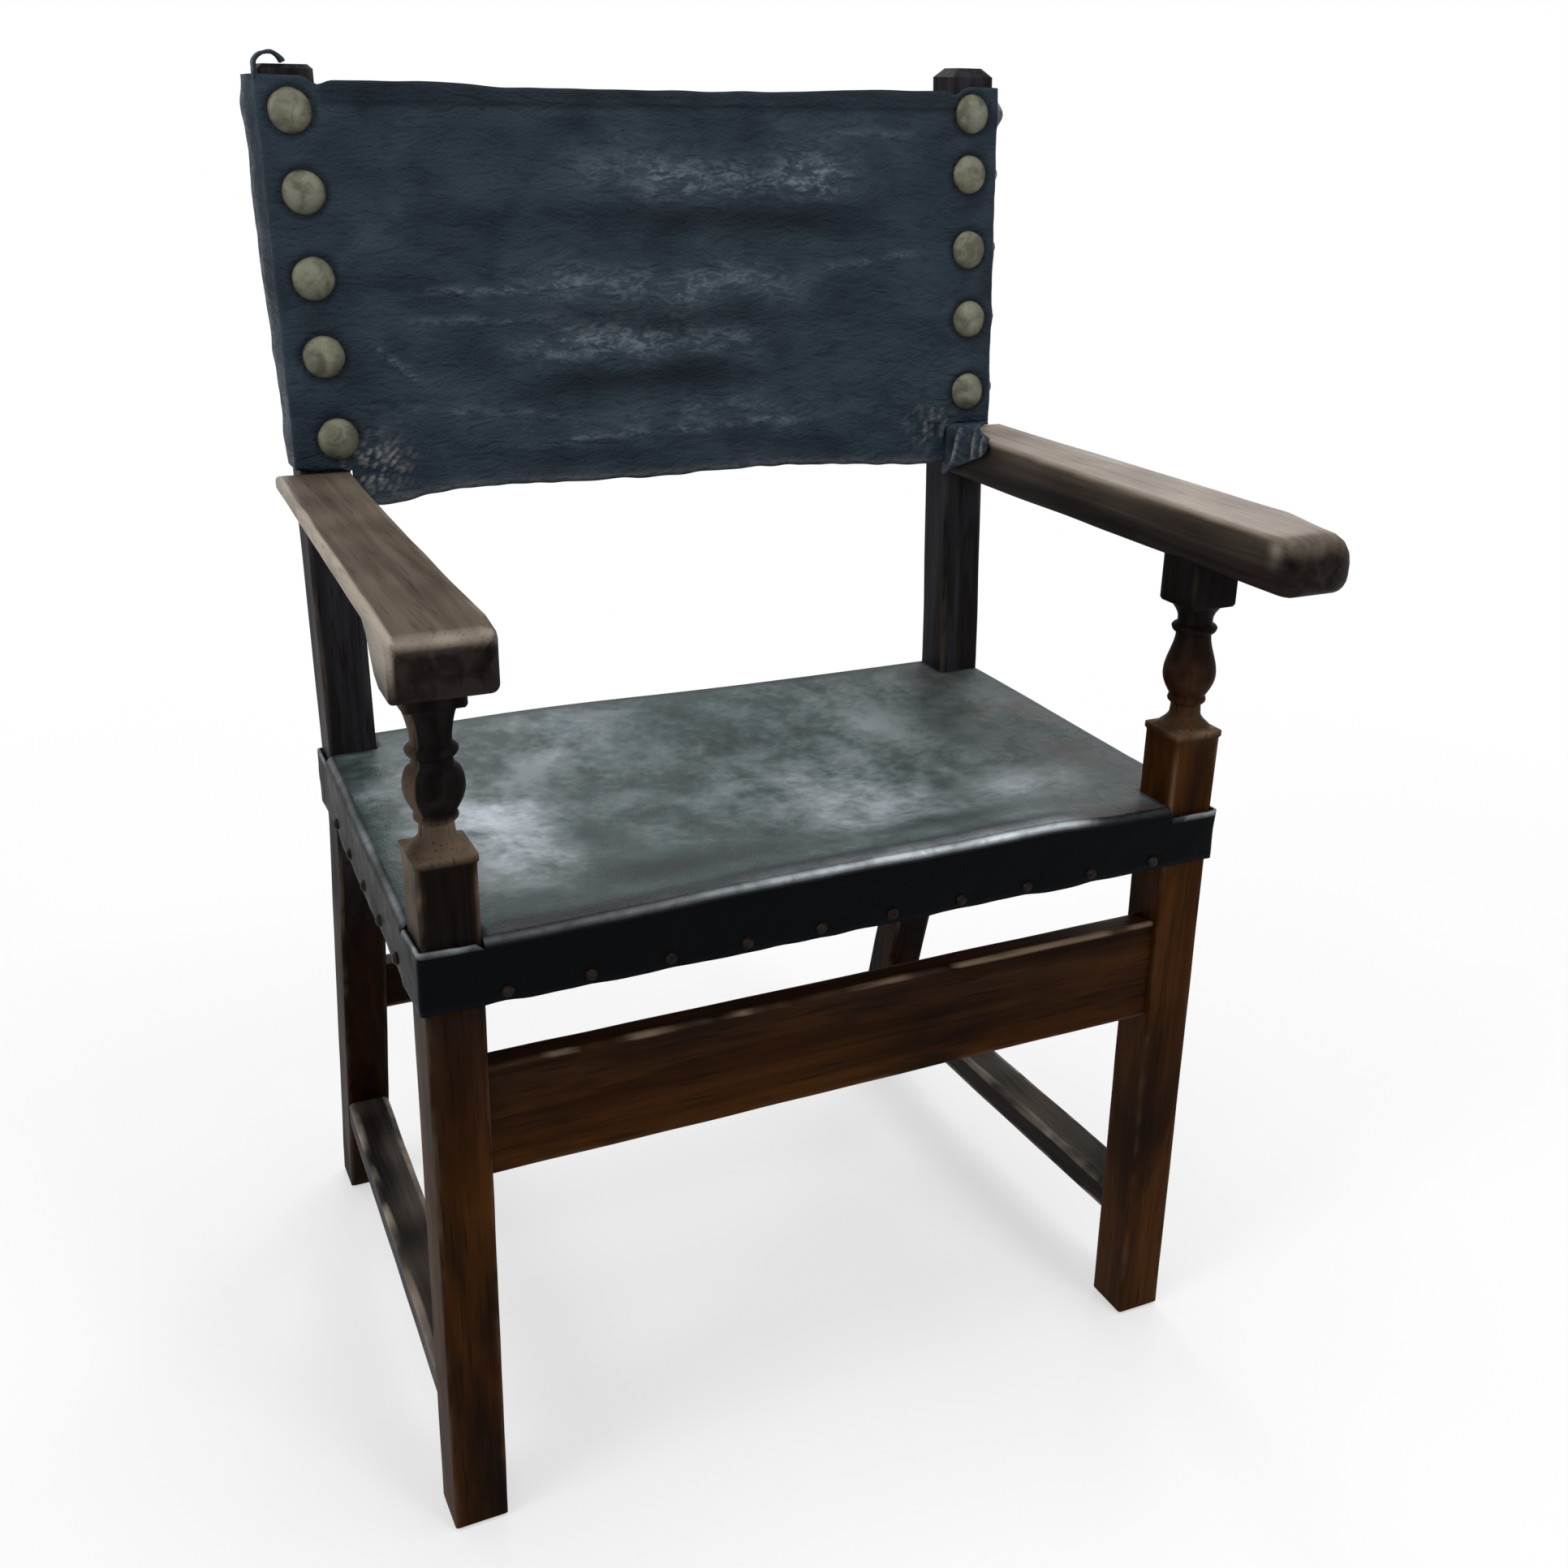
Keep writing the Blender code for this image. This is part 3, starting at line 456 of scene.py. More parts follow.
def back_hide():
    """Dark blue-black creased hide with a broken painted sheen, painted highlights and painted shade."""
    paint = new_paint("back_hide", {"Specular IOR Level": 0.08, "IOR": 1.45})
    clouds = paint.noise((14, 14, 24), 5.0, 0.8)
    creases = paint.noise((38, 38, 120), 6.0, 1.4, 6.0)
    specks = paint.noise((120, 120, 230), 5.0, 1.0, 8.0)
    fine = paint.noise((300, 300, 380), 3.0, 0.5, 2.0)
    broken = paint.blend((creases, 0.45), (specks, 0.55))
    painted_sheen = paint.mark("painted_sheen")
    colour = paint.layered(
        paint.mix(paint.spread(clouds, 0.34, 0.66), BACK_DARK, BACK_MID),
        (paint.spread(creases, 0.30, 0.48, 0.6, 0.0), BACK_DARK),
        # Painted sheen on up-facing swells and crease crests, then painted highlight specks
        (paint.times(painted_sheen, paint.spread(creases, 0.35, 0.60, 0.3, 0.9)), BACK_PAINTED_SHEEN),
        (paint.times(paint.times(painted_sheen, painted_sheen), paint.spread(broken, 0.48, 0.60)), BACK_PAINTED_HIGHLIGHT),
        # Painted shade under the swells, round the nails and at the upper hem
        (paint.mark("shade"), BACK_PAINTED_SHADE),
        # Fraying with painted highlights on fold crests
        (paint.times(paint.mark("fray_and_glint"), paint.spread(specks, 0.38, 0.56, 0.35, 1.0)), BACK_FRAY_GLINT),
    )
    paint.bump([(creases, 0.0020), (paint.cells(420), 0.00045), (fine, 0.0003)])
    return paint.finish(colour, paint.spread(creases, 0.35, 0.65, 0.42, 0.60))


def dull_metal(name, dark, middle, pale, size):
    """Tarnished metal, brighter on its high spots."""
    paint = new_paint(name, {"Metallic": 0.85, "Specular IOR Level": 0.2})
    blotches = paint.noise((1 / size, 1 / size, 1 / size), 4.0, 0.5)
    pits = paint.noise((7 / size, 7 / size, 7 / size), 3.0, 0.0, 3.0)
    colour = paint.layered(
        dark,
        (paint.spread(blotches, 0.35, 0.60), middle),
        (paint.times(paint.mark("crown"), paint.spread(blotches, 0.40, 0.70)), pale),
    )
    paint.bump([(blotches, 0.02 * size), (pits, 0.008 * size)])
    return paint.finish(colour, paint.spread(pits, 0.3, 0.7, 0.55, 0.70))


# Mesh building

SMOOTH_BELOW = math.radians(42)


def make_piece(name, verts, faces, look, replaced, marks, closed=True):
    """A piece that rides on the chair and stands for a solid of it."""
    material, slot = look
    mesh = bpy.data.meshes.new(name)
    mesh.from_pydata(verts, [], faces)
    for mark, values in marks.items():
        mesh.attributes.new(mark, "FLOAT", "POINT").data.foreach_set("value", values)
    if closed:
        shape = bmesh.new()
        shape.from_mesh(mesh)
        bmesh.ops.recalc_face_normals(shape, faces=shape.faces)
        for edge in shape.edges:
            edge.smooth = edge.calc_face_angle(0.0) < SMOOTH_BELOW
        shape.to_mesh(mesh)
        shape.free()
    mesh.polygons.foreach_set("use_smooth", [True] * len(mesh.polygons))
    mesh.materials.append(material)
    piece = bpy.data.objects.new(name, mesh)
    bpy.context.scene.collection.objects.link(piece)
    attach(piece, "root")
    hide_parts(replaced)
    return piece


def make_hide(name, verts, faces, look, replaced, marks):
    """A sheet of leather, thickened inward from its faces; its inner face carries no marks."""
    piece = make_piece(name, verts, faces, look, replaced, marks, closed=False)
    solid = piece.modifiers.new("thickness", "SOLIDIFY")
    solid.thickness = HIDE_THICK
    solid.offset = -1.0
    result = piece.evaluated_get(bpy.context.evaluated_depsgraph_get())
    thick = bpy.data.meshes.new_from_object(result)
    for mark in thick.attributes:
        if mark.data_type == "FLOAT" and mark.domain == "POINT":
            for point in mark.data[len(verts):]:
                point.value = 0.0
    piece.modifiers.clear()
    piece.data = thick
    return piece


def skin_over(rings):
    """Points and faces of a closed skin over rings of equal length."""
    count = len(rings[0])
    verts = [point for ring in rings for point in ring]
    faces = []
    for row in range(len(rings) - 1):
        for i in range(count):
            j = (i + 1) % count
            low, high = row * count, (row + 1) * count
            faces.append((low + i, low + j, high + j, high + i))
    faces.append(tuple(range(count)))
    faces.append(tuple(range(len(verts) - count, len(verts))))
    return verts, faces


def strip_faces(lines, count):
    """Faces over so many lines, each of count points."""
    firsts = [line * count + i for line in range(lines - 1) for i in range(count - 1)]
    return [(first, first + count, first + count + 1, first + 1) for first in firsts]


def cell_faces(grid, columns, rows):
    """Faces between points kept by (column, row), wherever all four are there."""
    faces = []
    for i in range(columns - 1):
        for j in range(rows - 1):
            cell = ((i, j), (i + 1, j), (i + 1, j + 1), (i, j + 1))
            if all(key in grid for key in cell):
                faces.append(tuple(grid[key] for key in cell))
    return faces


# Wood

CORNERS = ((1, 1), (-1, 1), (-1, -1), (1, -1))
CORNER_TURNS = (0, 22.5, 45, 67.5, 90)
FLAT_PARTS = (0.35, 0.65)
EDGE_MARGINS = (0.0020, 0.0045)
EDGE_SWING = 0.45
NO_BEVELS = (0.0, 0.0, 0.0, 0.0)


def straight(start, end, parts):
    """Points of a section at parts of a straight line, as (a, b, 0)."""
    return [(between(start[0], end[0], part), between(start[1], end[1], part), 0.0) for part in parts]


def rounded_section(half_a, half_b, radii, bevels):
    """Rounded rectangle as (a, b, edge), where edge is 1 on a round corner and 0 on a flat or a bevel."""
    arcs = []
    for corner, (sign_a, sign_b) in enumerate(CORNERS):
        radius = min(max(bevels[corner], radii[corner]), 1.7 * half_a, 1.7 * half_b)
        middle_a = sign_a * (half_a - radius)
        middle_b = sign_b * (half_b - radius)
        arc = []
        for degrees in CORNER_TURNS:
            turn = math.radians(90 * corner + degrees)
            arc.append((middle_a + radius * math.cos(turn), middle_b + radius * math.sin(turn), 1.0))
        if bevels[corner] > radii[corner]:
            arc = straight(arc[0], arc[-1], [degrees / 90 for degrees in CORNER_TURNS])
        arcs.append(arc)
    points = []
    for arc, following in zip(arcs, arcs[1:] + arcs[:1]):
        start, end = arc[-1], following[0]
        length = math.dist(start, end)
        margins = [min(0.15 * (i + 1), margin / length) for i, margin in enumerate(EDGE_MARGINS)]
        points += arc
        parts = (*margins, *FLAT_PARTS, *(1 - margin for margin in reversed(margins)))
        points += straight(start, end, parts)
    return points


def wear_at(point, seed):
    """How rubbed an edge is: in patches along its length."""
    return clamp(0.25 + waves(point, ((0.9, 0.045, seed), (0.5, 0.012, seed + 2))))


def stick(node, stations, look, radius, seed, rub=None, wear=None, bevel=None, rounding=None):
    """A hand-worked stick through stations of (centre, side axis, upper axis, half width, half height).
    Where given, the two paleness functions say how pale a point is, from rubbing and, on the arms and front
    legs, also from a painted sheen and a painted highlight; bevel gives the corners flat bevels and
    rounding gives them a least radius. The first of them is told how high the point is in its section, -1 to
    1."""
    rings = []
    marks = {"wear": [], "rub": []}
    for centre, side_axis, up_axis, half_a, half_b in stations:
        radii = [radius * (1 + EDGE_SWING * wobble(centre, 0.06, seed + corner)) for corner in range(4)]
        if rounding:
            radii = [min(max(pair), 0.95 * half_b) for pair in zip(radii, rounding(centre))]
        ring = []
        for a, b, edge in rounded_section(half_a, half_b, radii, bevel(centre) if bevel else NO_BEVELS):
            reach = side_axis * a + up_axis * b
            point = centre + reach
            point += reach.normalized() * UNEVEN * wobble(point, 0.05, seed)
            ring.append(point)
            rubbed = edge * wear_at(point, seed)
            marks["wear"].append(wear(point, rubbed, edge) if wear else rubbed)
            marks["rub"].append(rub(point, b / half_b) if rub else 0.0)
        rings.append(ring)
    return make_piece("wood_" + node, *skin_over(rings), look, node, marks)


# Turned part of a front leg, upward from the top of its block: height and width at the end of
# each stretch, and the curve that the width follows to get there
TURNING = (
    (0.0025, 0.0385, "line"),
    (0.0125, 0.0235, "swell"),
    (0.0190, 0.0225, "line"),
    (0.0225, 0.0290, "swell"),
    (0.0262, 0.0268, "drop"),
    (0.0430, 0.0396, "swell"),
    (0.0750, 0.0262, "ease"),
    (0.0775, 0.0325, "swell"),
    (0.0800, 0.0340, "swell"),
    (0.0830, 0.0262, "drop"),
    (0.0862, 0.0262, "line"),
    (0.0975, 0.0375, "drop"),
)
CURVES = {
    "line": lambda part: part,
    "swell": lambda part: math.sin(math.radians(90 * part)),
    "drop": lambda part: 1 - math.cos(math.radians(90 * part)),
    "ease": lambda part: (1 - math.cos(math.radians(180 * part))) / 2,
}
TURNING_STEP = 0.0013
# The upper ring sits lower on one leg; the turning moves with it between these heights
RING_DROPS = {"left": 0.012, "right": 0.0}
RING_DROP_START = (0.050, 0.074)
RING_DROP_END = (0.0972, 0.086)
# The lower rings are rubbed up to these heights above the block
RING_RUBS = {"left": 0.65, "right": 0.15}
RING_RUB_END = (BLOCK_TOP + 0.026, BLOCK_TOP + 0.018)
RIGHT_LEG_TURN = (0.52, 0.64)
BLOCK_LIP = 0.0012
BLOCK_LIP_HEIGHT = 0.006
LIP_WEAR = 0.003
CAPITAL_Z = BLOCK_TOP + 0.0980
CAPITAL_WIDTH = 0.0405
CAPITAL_STEP = 0.008
QUARTER_TURNS = (0, 12, 24, 33, 39, 42.5, 45, 47.5, 51, 57, 66, 78)
LEG_TURNS = [90 * quarter + degrees for quarter in range(4) for degrees in QUARTER_TURNS]
SQUARENESS = 22
ROUNDNESS = 2


def leg_rows(ring_drop):
    """Height, half width and section power up a front leg."""
    rows = [(0.0, LEG / 2 - FOOT_CHAMFER, SQUARENESS)]
    for z in spaced(FOOT_CHAMFER, BLOCK_TOP - BLOCK_LIP_HEIGHT, STATION):
        rows.append((z, LEG / 2, SQUARENESS))
    rows.append((BLOCK_TOP - 0.7 * BLOCK_LIP_HEIGHT, LEG / 2 + BLOCK_LIP, SQUARENESS))
    rows.append((BLOCK_TOP, LEG / 2 + BLOCK_LIP, SQUARENESS))
    height, width = 0.0, LEG
    for next_height, next_width, curve in TURNING:
        count = max(2, round((next_height - height) / TURNING_STEP))
        for i in range(1, count + 1):
            part = i / count
            up = between(height, next_height, part)
            drop = ring_drop * ramp(up, *RING_DROP_START) * ramp(up, *RING_DROP_END)
            half = between(width, next_width, CURVES[curve](part)) / 2
            rows.append((BLOCK_TOP + up - drop, half, ROUNDNESS))
        height, width = next_height, next_width
    rows.append((CAPITAL_Z, CAPITAL_WIDTH / 2 - 0.001, SQUARENESS))
    for z in spaced(CAPITAL_Z + 0.002, ARM_LOW + 0.001, CAPITAL_STEP):
        rows.append((z, CAPITAL_WIDTH / 2, SQUARENESS))
    return rows


def front_leg(side_name, side, look):
    """Square leg with a turned baluster under the arm, rubbed on its edges and lower rings; its outer side
    is pale, rubbed and with a painted highlight.
    """
    seed = 11 + side
    rings = []
    wear = []
    for z, half, power in leg_rows(RING_DROPS[side_name]):
        square = power == SQUARENESS
        centre = Vector((side * (LEG_X + leg_splay(z)), LEG_Y, z))
        lip = hill(z, BLOCK_TOP, LIP_WEAR)
        edges = between(0.30, 0.8, ramp(z, 0.40, 0.50)) * between(1.0, 0.3, ramp(z, BLOCK_TOP, CAPITAL_Z))
        # Pale outer side: rubbing and a painted highlight
        outer = 0.0 if square and z > BLOCK_TOP else between(0.10, 0.42, ramp(z, 0.47, 0.50))
        lower = RING_RUBS[side_name] * ramp(z, *RING_RUB_END) * ramp(z, BLOCK_TOP - 0.006, BLOCK_TOP)
        ring = []
        for degrees in LEG_TURNS:
            turn = math.radians(degrees)
            flat = abs(math.cos(turn)) ** power + abs(math.sin(turn)) ** power
            out = Vector((math.cos(turn), math.sin(turn), 0.0))
            point = centre + out * half / flat ** (1 / power)
            point += out * UNEVEN * wobble(point, 0.045, seed)
            ring.append(point)
            edge = hill(degrees % 90, 45, 4) if square else 0.35 * hill(half, LEG / 2, 0.002)
            broad = max(lower, outer * ramp(out.x * side, 0.72, 0.78))
            wear.append(max(max(edges * edge, lip) * wear_at(point, seed),
                            broad * patchy(0.7, 0.5, point, 0.02, seed + 5)))
        rings.append(ring)
    node = "front_leg_" + side_name
    return make_piece("wood_" + node, *skin_over(rings), look, node, {"wear": wear})


def faint_wear(point, rubbed, edge):
    """Edges that hands and feet seldom reach."""
    return 0.25 * rubbed


def back_post(side_name, side, look):
    """Sawn post, kicked back below the seat and raked above it."""
    top = POST_TOPS[side_name]
    chamfer = POST_CHAMFERS[side_name]
    stations = []
    for z in [0.0, *spaced(FOOT_CHAMFER, top - chamfer, STATION), top]:
        cut = chamfer if z == top else FOOT_CHAMFER if z == 0.0 else 0.0
        centre = Vector((side * POST_X, post_front(z) + POST_DEPTH / 2, z))
        stations.append((centre, RIGHT, REAR, (POST_OUTER - POST_INNER) / 2 - cut, POST_DEPTH / 2 - cut))
    return stick("back_post_" + side_name, stations, look, POST_EDGE, 21 + side, None, faint_wear)


def arm_span(y, side):
    """Distances of an arm's inner and outer sides from the middle; the left one's inner side is bowed."""
    part = (y - ARM_NOSE) / (post_front(ARM_TOP) - ARM_NOSE)
    inner, outer = (between(front, back, part) for front, back in zip(ARM_EDGES_FRONT, ARM_EDGES_BACK))
    if side < 0:
        inner += LEFT_BOW * 4 * part * (1 - part)
    return inner, outer


def arm_rub_and_sheen(point, height):
    """Arms are rubbed pale on top and a little down their noses, with a painted sheen; the right one also on
    its inner side.
    """
    side = side_of(point.x)
    behind = ramp(point.y, ARM_NOSE - NOSE_AHEAD[side], ARM_NOSE + NOSE_RUNS[side])
    begin, full = (between(nose, rear, behind) for nose, rear in zip(NOSE_RUB_DEPTHS[side], ARM_RUB_DEPTHS))
    strength = between(*ARM_RUB_SHEENS[side], ramp(point.y, ARM_NOSE + 0.05, POST_SEAT))
    strength *= between(NOSE_RUB_SHEENS[side], 1.0, behind)
    top = ramp(point.z, ARM_TOP - begin, ARM_TOP - full) * (strength + 0.18 * wobble(point, 0.05, 3))
    if side < 0:
        return max(top, 0.0)
    low = 0.25 * behind * ramp(point.z, ARM_LOW + 0.010, ARM_TOP - 0.004)
    return max(top, low * (0.9 + wobble(point, 0.06, 4)))


def arm_wear_and_highlight(point, rubbed, edge):
    """The left arm is pale on its outer side and front edge, rubbed and with a painted highlight of its lit
    side; the right one is rubbed pale inside its nose.
    """
    inner, outer = arm_span(point.y, point.x)
    from_outer = outer - abs(point.x)
    depth = ARM_TOP - point.z
    inset = min(abs(point.x) - inner, from_outer, depth, point.z - ARM_LOW)
    if point.x < 0:
        # Painted highlight with rubbing: the lit outer side, its top edge and the nose's top edge
        side = ramp(from_outer, 0.005, 0.002) * ramp(point.z, ARM_LOW, ARM_TOP - 0.012)
        side *= patchy(0.85, 0.5, point, 0.03, 5)
        rim = 1.2 * edge * ramp(from_outer, 0.006, 0.003) * ramp(depth, 0.006, 0.003)
        lip = hill(depth, 0.0035, 0.003) * ramp(point.y, ARM_NOSE + 0.009, ARM_NOSE + 0.005)
        pale = max(side, rim, lip * patchy(0.55, 0.6, point, 0.02, 6))
    else:
        corner = Vector((inner + 0.003, ARM_NOSE + 0.002, ARM_TOP - 0.008))
        pale = 0.8 * hill((point - corner).length, 0.0, 0.006)
    upper = ramp(point.z, ARM_LOW + 0.006, ARM_LOW + 0.012)
    return clamp(max(pale, 0.45 * rubbed * upper * ramp(inset, 0.004, 0.002)))


def arm_bevel(centre):
    """Bevels of an arm: its outer lower edge is cut away behind the nose."""
    under = UNDERCUT * ramp(centre.y, UNDERCUT_START, UNDERCUT_FULL)
    return (0.0, 0.0, under, 0.0) if centre.x < 0 else (0.0, 0.0, 0.0, under)


def arm_rounding(centre):
    """Least radii of an arm's corners: the right nose is half round outside, the left eased inside."""
    if centre.x < 0:
        return NOSE_INNER_RADIUS * ramp(centre.y, ARM_NOSE + NOSE_INNER_REACH, ARM_NOSE), 0.0, 0.0, 0.0
    share = ramp(centre.y, ARM_NOSE + NOSE_OUTER_REACH, ARM_NOSE)
    upper, lower = (share * radius for radius in NOSE_OUTER_RADII)
    return upper, 0.0, 0.0, lower


def arm_station(side, y, low, high, cuts=(0.0, 0.0), share=1.0):
    """Section of an arm at y, cut back at both sides; a share under 1 shrinks it about its middle."""
    left, right = sorted(side * edge for edge in arm_span(y, side))
    left += cuts[0]
    right -= cuts[1]
    centre = Vector(((left + right) / 2, y, (low + high) / 2))
    lean = Vector((0, POST_RAKE * ramp(y, 0.10, post_front(ARM_TOP)), 1))
    return centre, RIGHT, lean, share * (right - left) / 2, share * (high - low) / 2


def round_off(past, run, rise):
    """How far a rounded end is cut away at a distance past its tip."""
    return rise * (1 - math.sqrt(1 - clamp(1 - past / run) ** 2))


def arm(side_name, side, look):
    """Flat arm with a blunt rounded nose that overhangs the leg."""
    corners = NOSE_CORNERS[side]
    reach = max(NOSE_RUNS[side], *corners)
    tip = ARM_NOSE - NOSE_AHEAD[side]
    stations = []
    for i in range(NOSE_STEPS, 0, -1):
        past = reach * (1 - math.sin(math.radians(90 * i / NOSE_STEPS)))
        high = ARM_TOP - round_off(past, NOSE_RUNS[side], NOSE_RISES[side])
        low = ARM_LOW + round_off(past, NOSE_UNDER_RUNS[side], NOSE_UNDER_RISES[side])
        cuts = [round_off(past, corner, corner) for corner in corners]
        if not stations:
            stations = [arm_station(side, tip, low, high, cuts, share) for share in NOSE_SHARES]
        stations.append(arm_station(side, tip + past, low, high, cuts))
    end = post_front((ARM_LOW + ARM_TOP) / 2) - ARM_END_GAP
    for y in spaced(tip + reach, end, STATION):
        stations.append(arm_station(side, y, ARM_LOW, ARM_TOP))
    return stick("arm_" + side_name, stations, look, ARM_EDGE, 31 + side, arm_rub_and_sheen, arm_wear_and_highlight, arm_bevel,
                 arm_rounding)


def bar_rub(point, height):
    """Low side bars are rubbed on top by feet."""
    return clamp(ramp(height, 0.5, 0.95) * (0.09 + 0.24 * wobble(point, 0.05, 8)))


def side_bar(side_name, side, look):
    """Low bar from a front leg back to its post, its ends let into both."""
    middle = (bar_low.z + bar_high.z) / 2
    end = post_front(middle) + LET_IN
    stations = []
    for y in spaced(LEG_BACK - LET_IN, end, STATION):
        x = between(LEG_X + leg_splay(middle), POST_X, (y - LEG_BACK) / (end - LEG_BACK))
        centre = Vector((side * x, y, middle))
        stations.append((centre, RIGHT, UP, BAR_WIDTH / 2, (bar_high.z - bar_low.z) / 2))
    return stick("side_stretcher_" + side_name, stations, look, BAR_EDGE, 41 + side, bar_rub)


def board_wear(point, rubbed, edge):
    """The front board is rubbed in dashes along its top front edge."""
    dash = ramp(wobble((point.x, 0, 0), 0.040, 15), -0.10, 0.12)
    front = ramp(point.y - board_low.y, 0.006, 0.003)
    top = ramp(board_high.z - point.z, 0.006, 0.003)
    return max(0.25 * rubbed, 0.6 * edge * dash * front * top)


def cross_bar(node, low, high, reach, look, radius, seed, wear=None):
    """A stretcher from side to side, its ends let into the uprights."""
    middle = (low + high) / 2
    half = (high - low) / 2
    stations = []
    for x in spaced(-reach - LET_IN, reach + LET_IN, STATION):
        stations.append((Vector((x, middle.y, middle.z)), REAR, UP, half.y, half.z))
    return stick(node, stations, look, radius, seed, None, wear)


# Seat leather: a hide over the rails, turned down all round, with a notch at each upright

TACKS = {side_name: [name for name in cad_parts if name.startswith("seat_tack_" + side_name + "_")]
         for side_name in ("front", "left", "right")}
tack_points = [middle_of(name) for names in TACKS.values() for name in names]
NOTCH_CLEAR = 0.0004
SEAT_STEP = 0.006
SKIRT_STEP = 0.005
# How far the top sags, over these distances from its sides and ends, and its unevenness
SEAT_SAG = 0.011
SAG_REACH = (0.20, 0.16)
SEAT_WAVES = ((0.0011, 0.11, 2), (0.0005, 0.035, 5))
# How far the edge stands above the level one: at the rear, along the front, before each leg
REAR_LIFT = 0.006
REAR_CREST = 0.004
FRONT_LIFT = 0.0045
FRONT_CREST = 0.0015
FRONT_FALL = 0.003
FRONT_LIFT_REACH = 0.10
BAND_LIFTS = {-1: 0.006, 1: 0.001}
BAND_WAVE = 0.0018
BAND_DROP = 0.0008
# The skirt's unevenness, how far it stands off, how tacks pull it in, and the waves of its lower edge
SKIRT_WAVES = ((0.0009, 0.045, 4), (0.0005, 0.014, 9))
SKIRT_STAND = 0.0006
TACK_PULL = 0.0010
TACK_REACH = 0.011
SKIRT_EDGE_WAVE = 0.0016
SKIRT_EDGE_RISE = 0.0015
SKIRT_EDGE_PULL = 0.0012
# The rolled fold: degrees of its points, where its painted highlight is palest, and how far its softer
# painted line runs onto the top
ROLL_TURNS = (15, 30, 45, 60, 75)
FOLD_TURN = 50
FOLD_SOFT = 0.27
FOLD_REACH = 0.013


def edge_lift(x, y):
    """How far the seat's edge stands above the level one: at the back, and along the front to the right."""
    front = FRONT_LIFT * ramp(x, -0.27, -0.03) + FRONT_CREST * hill(x, 0.15, 0.05)
    front -= FRONT_FALL * ramp(x, 0.17, 0.23)
    rear = REAR_LIFT + REAR_CREST * hill(x, -0.12, 0.14)
    return rear * ramp(y, LEG_BACK, SEAT_BACK) + front * ramp(y, LEG_FRONT + FRONT_LIFT_REACH, LEG_FRONT)


def seat_top_shape(x, y):
    """Height of the seat's top: slack in the middle and pulled up at the back."""
    in_x = clamp((frame_side(y) - abs(x)) / SAG_REACH[0])
    in_y = clamp(min(y - LEG_FRONT, SEAT_BACK - y) / SAG_REACH[1])
    slack = ramp(in_x, 0.08, 1.0) ** 0.7 * ramp(in_y, 0.08, 1.0) ** 0.7
    uneven = waves((x, y, 0), SEAT_WAVES) * ramp(min(in_x, in_y), 0.0, 0.25)
    return SEAT_TOP - SEAT_SAG * slack + edge_lift(x, y) + uneven


def skirt_point(base, out, z, lift):
    """A point of the turned-down edge, puckered at its tacks."""
    part = (z - SKIRT_LOW) / (SEAT_TOP - SEAT_ROLL - SKIRT_LOW)
    point = Vector((base.x, base.y, z + lift * ramp(part, 0.2, 1.0)))
    pull = max(hill((point - tack).length, 0.0, TACK_REACH) for tack in tack_points)
    point += out * (waves(point, SKIRT_WAVES) - TACK_PULL * pull + SKIRT_STAND)
    edge = SKIRT_EDGE_WAVE * wobble(base, 0.030, 6) + SKIRT_EDGE_PULL * pull + SKIRT_EDGE_RISE
    point.z += (1 - part) ** 2 * edge
    return point


def seat_grid():
    """Lines of the seat's top across and along; lines past 1 run out to the sides."""
    inner = spaced(-1.0, 1.0, 2 / 92)
    outer = spaced(1.0, 2.0, 1 / 6)[1:]
    across = [-c for c in reversed(outer)] + inner + outer
    stops = (SEAT_FRONT + SEAT_ROLL, LEG_BACK + NOTCH_CLEAR, POST_SEAT - NOTCH_CLEAR, SEAT_REAR - SEAT_ROLL)
    rows = [stops[0]]
    for start, end in zip(stops, stops[1:]):
        rows += spaced(start, end, SEAT_STEP)[1:]
    return across, rows


def seat_x(c, y):
    """X of a line of the seat's top."""
    notch = between(LEG_INNER, POST_INNER, seat_depth(y)) - NOTCH_CLEAR
    if abs(c) <= 1:
        return c * notch
    return math.copysign(between(notch, frame_side(y) + SKIN - SEAT_ROLL, abs(c) - 1), c)


def seat_corner(side, end, first_turn):
    """Columns round a corner of the seat; end is -1 in front and 1 at the rear."""
    wide = (LEG_OUTER if end < 0 else POST_OUTER) + SKIN - SEAT_CORNER
    deep = SEAT_FRONT + SEAT_CORNER if end < 0 else SEAT_REAR - SEAT_CORNER
    columns = []
    for degrees in CORNER_TURNS:
        turn = math.radians(first_turn + degrees)
        out = Vector((math.cos(turn), math.sin(turn), 0))
        columns.append((Vector((side * wide, deep, 0)) + out * SEAT_CORNER, out, None))
    return columns


def seat_band(before, after, out):
    """Columns of the narrow band that passes an upright, between two columns."""
    start, end = before[0], after[0]
    steps = spaced(0.0, 1.0, SEAT_STEP / (end - start).length)
    return [(start.lerp(end, part), out, None) for part in steps[1:-1]]


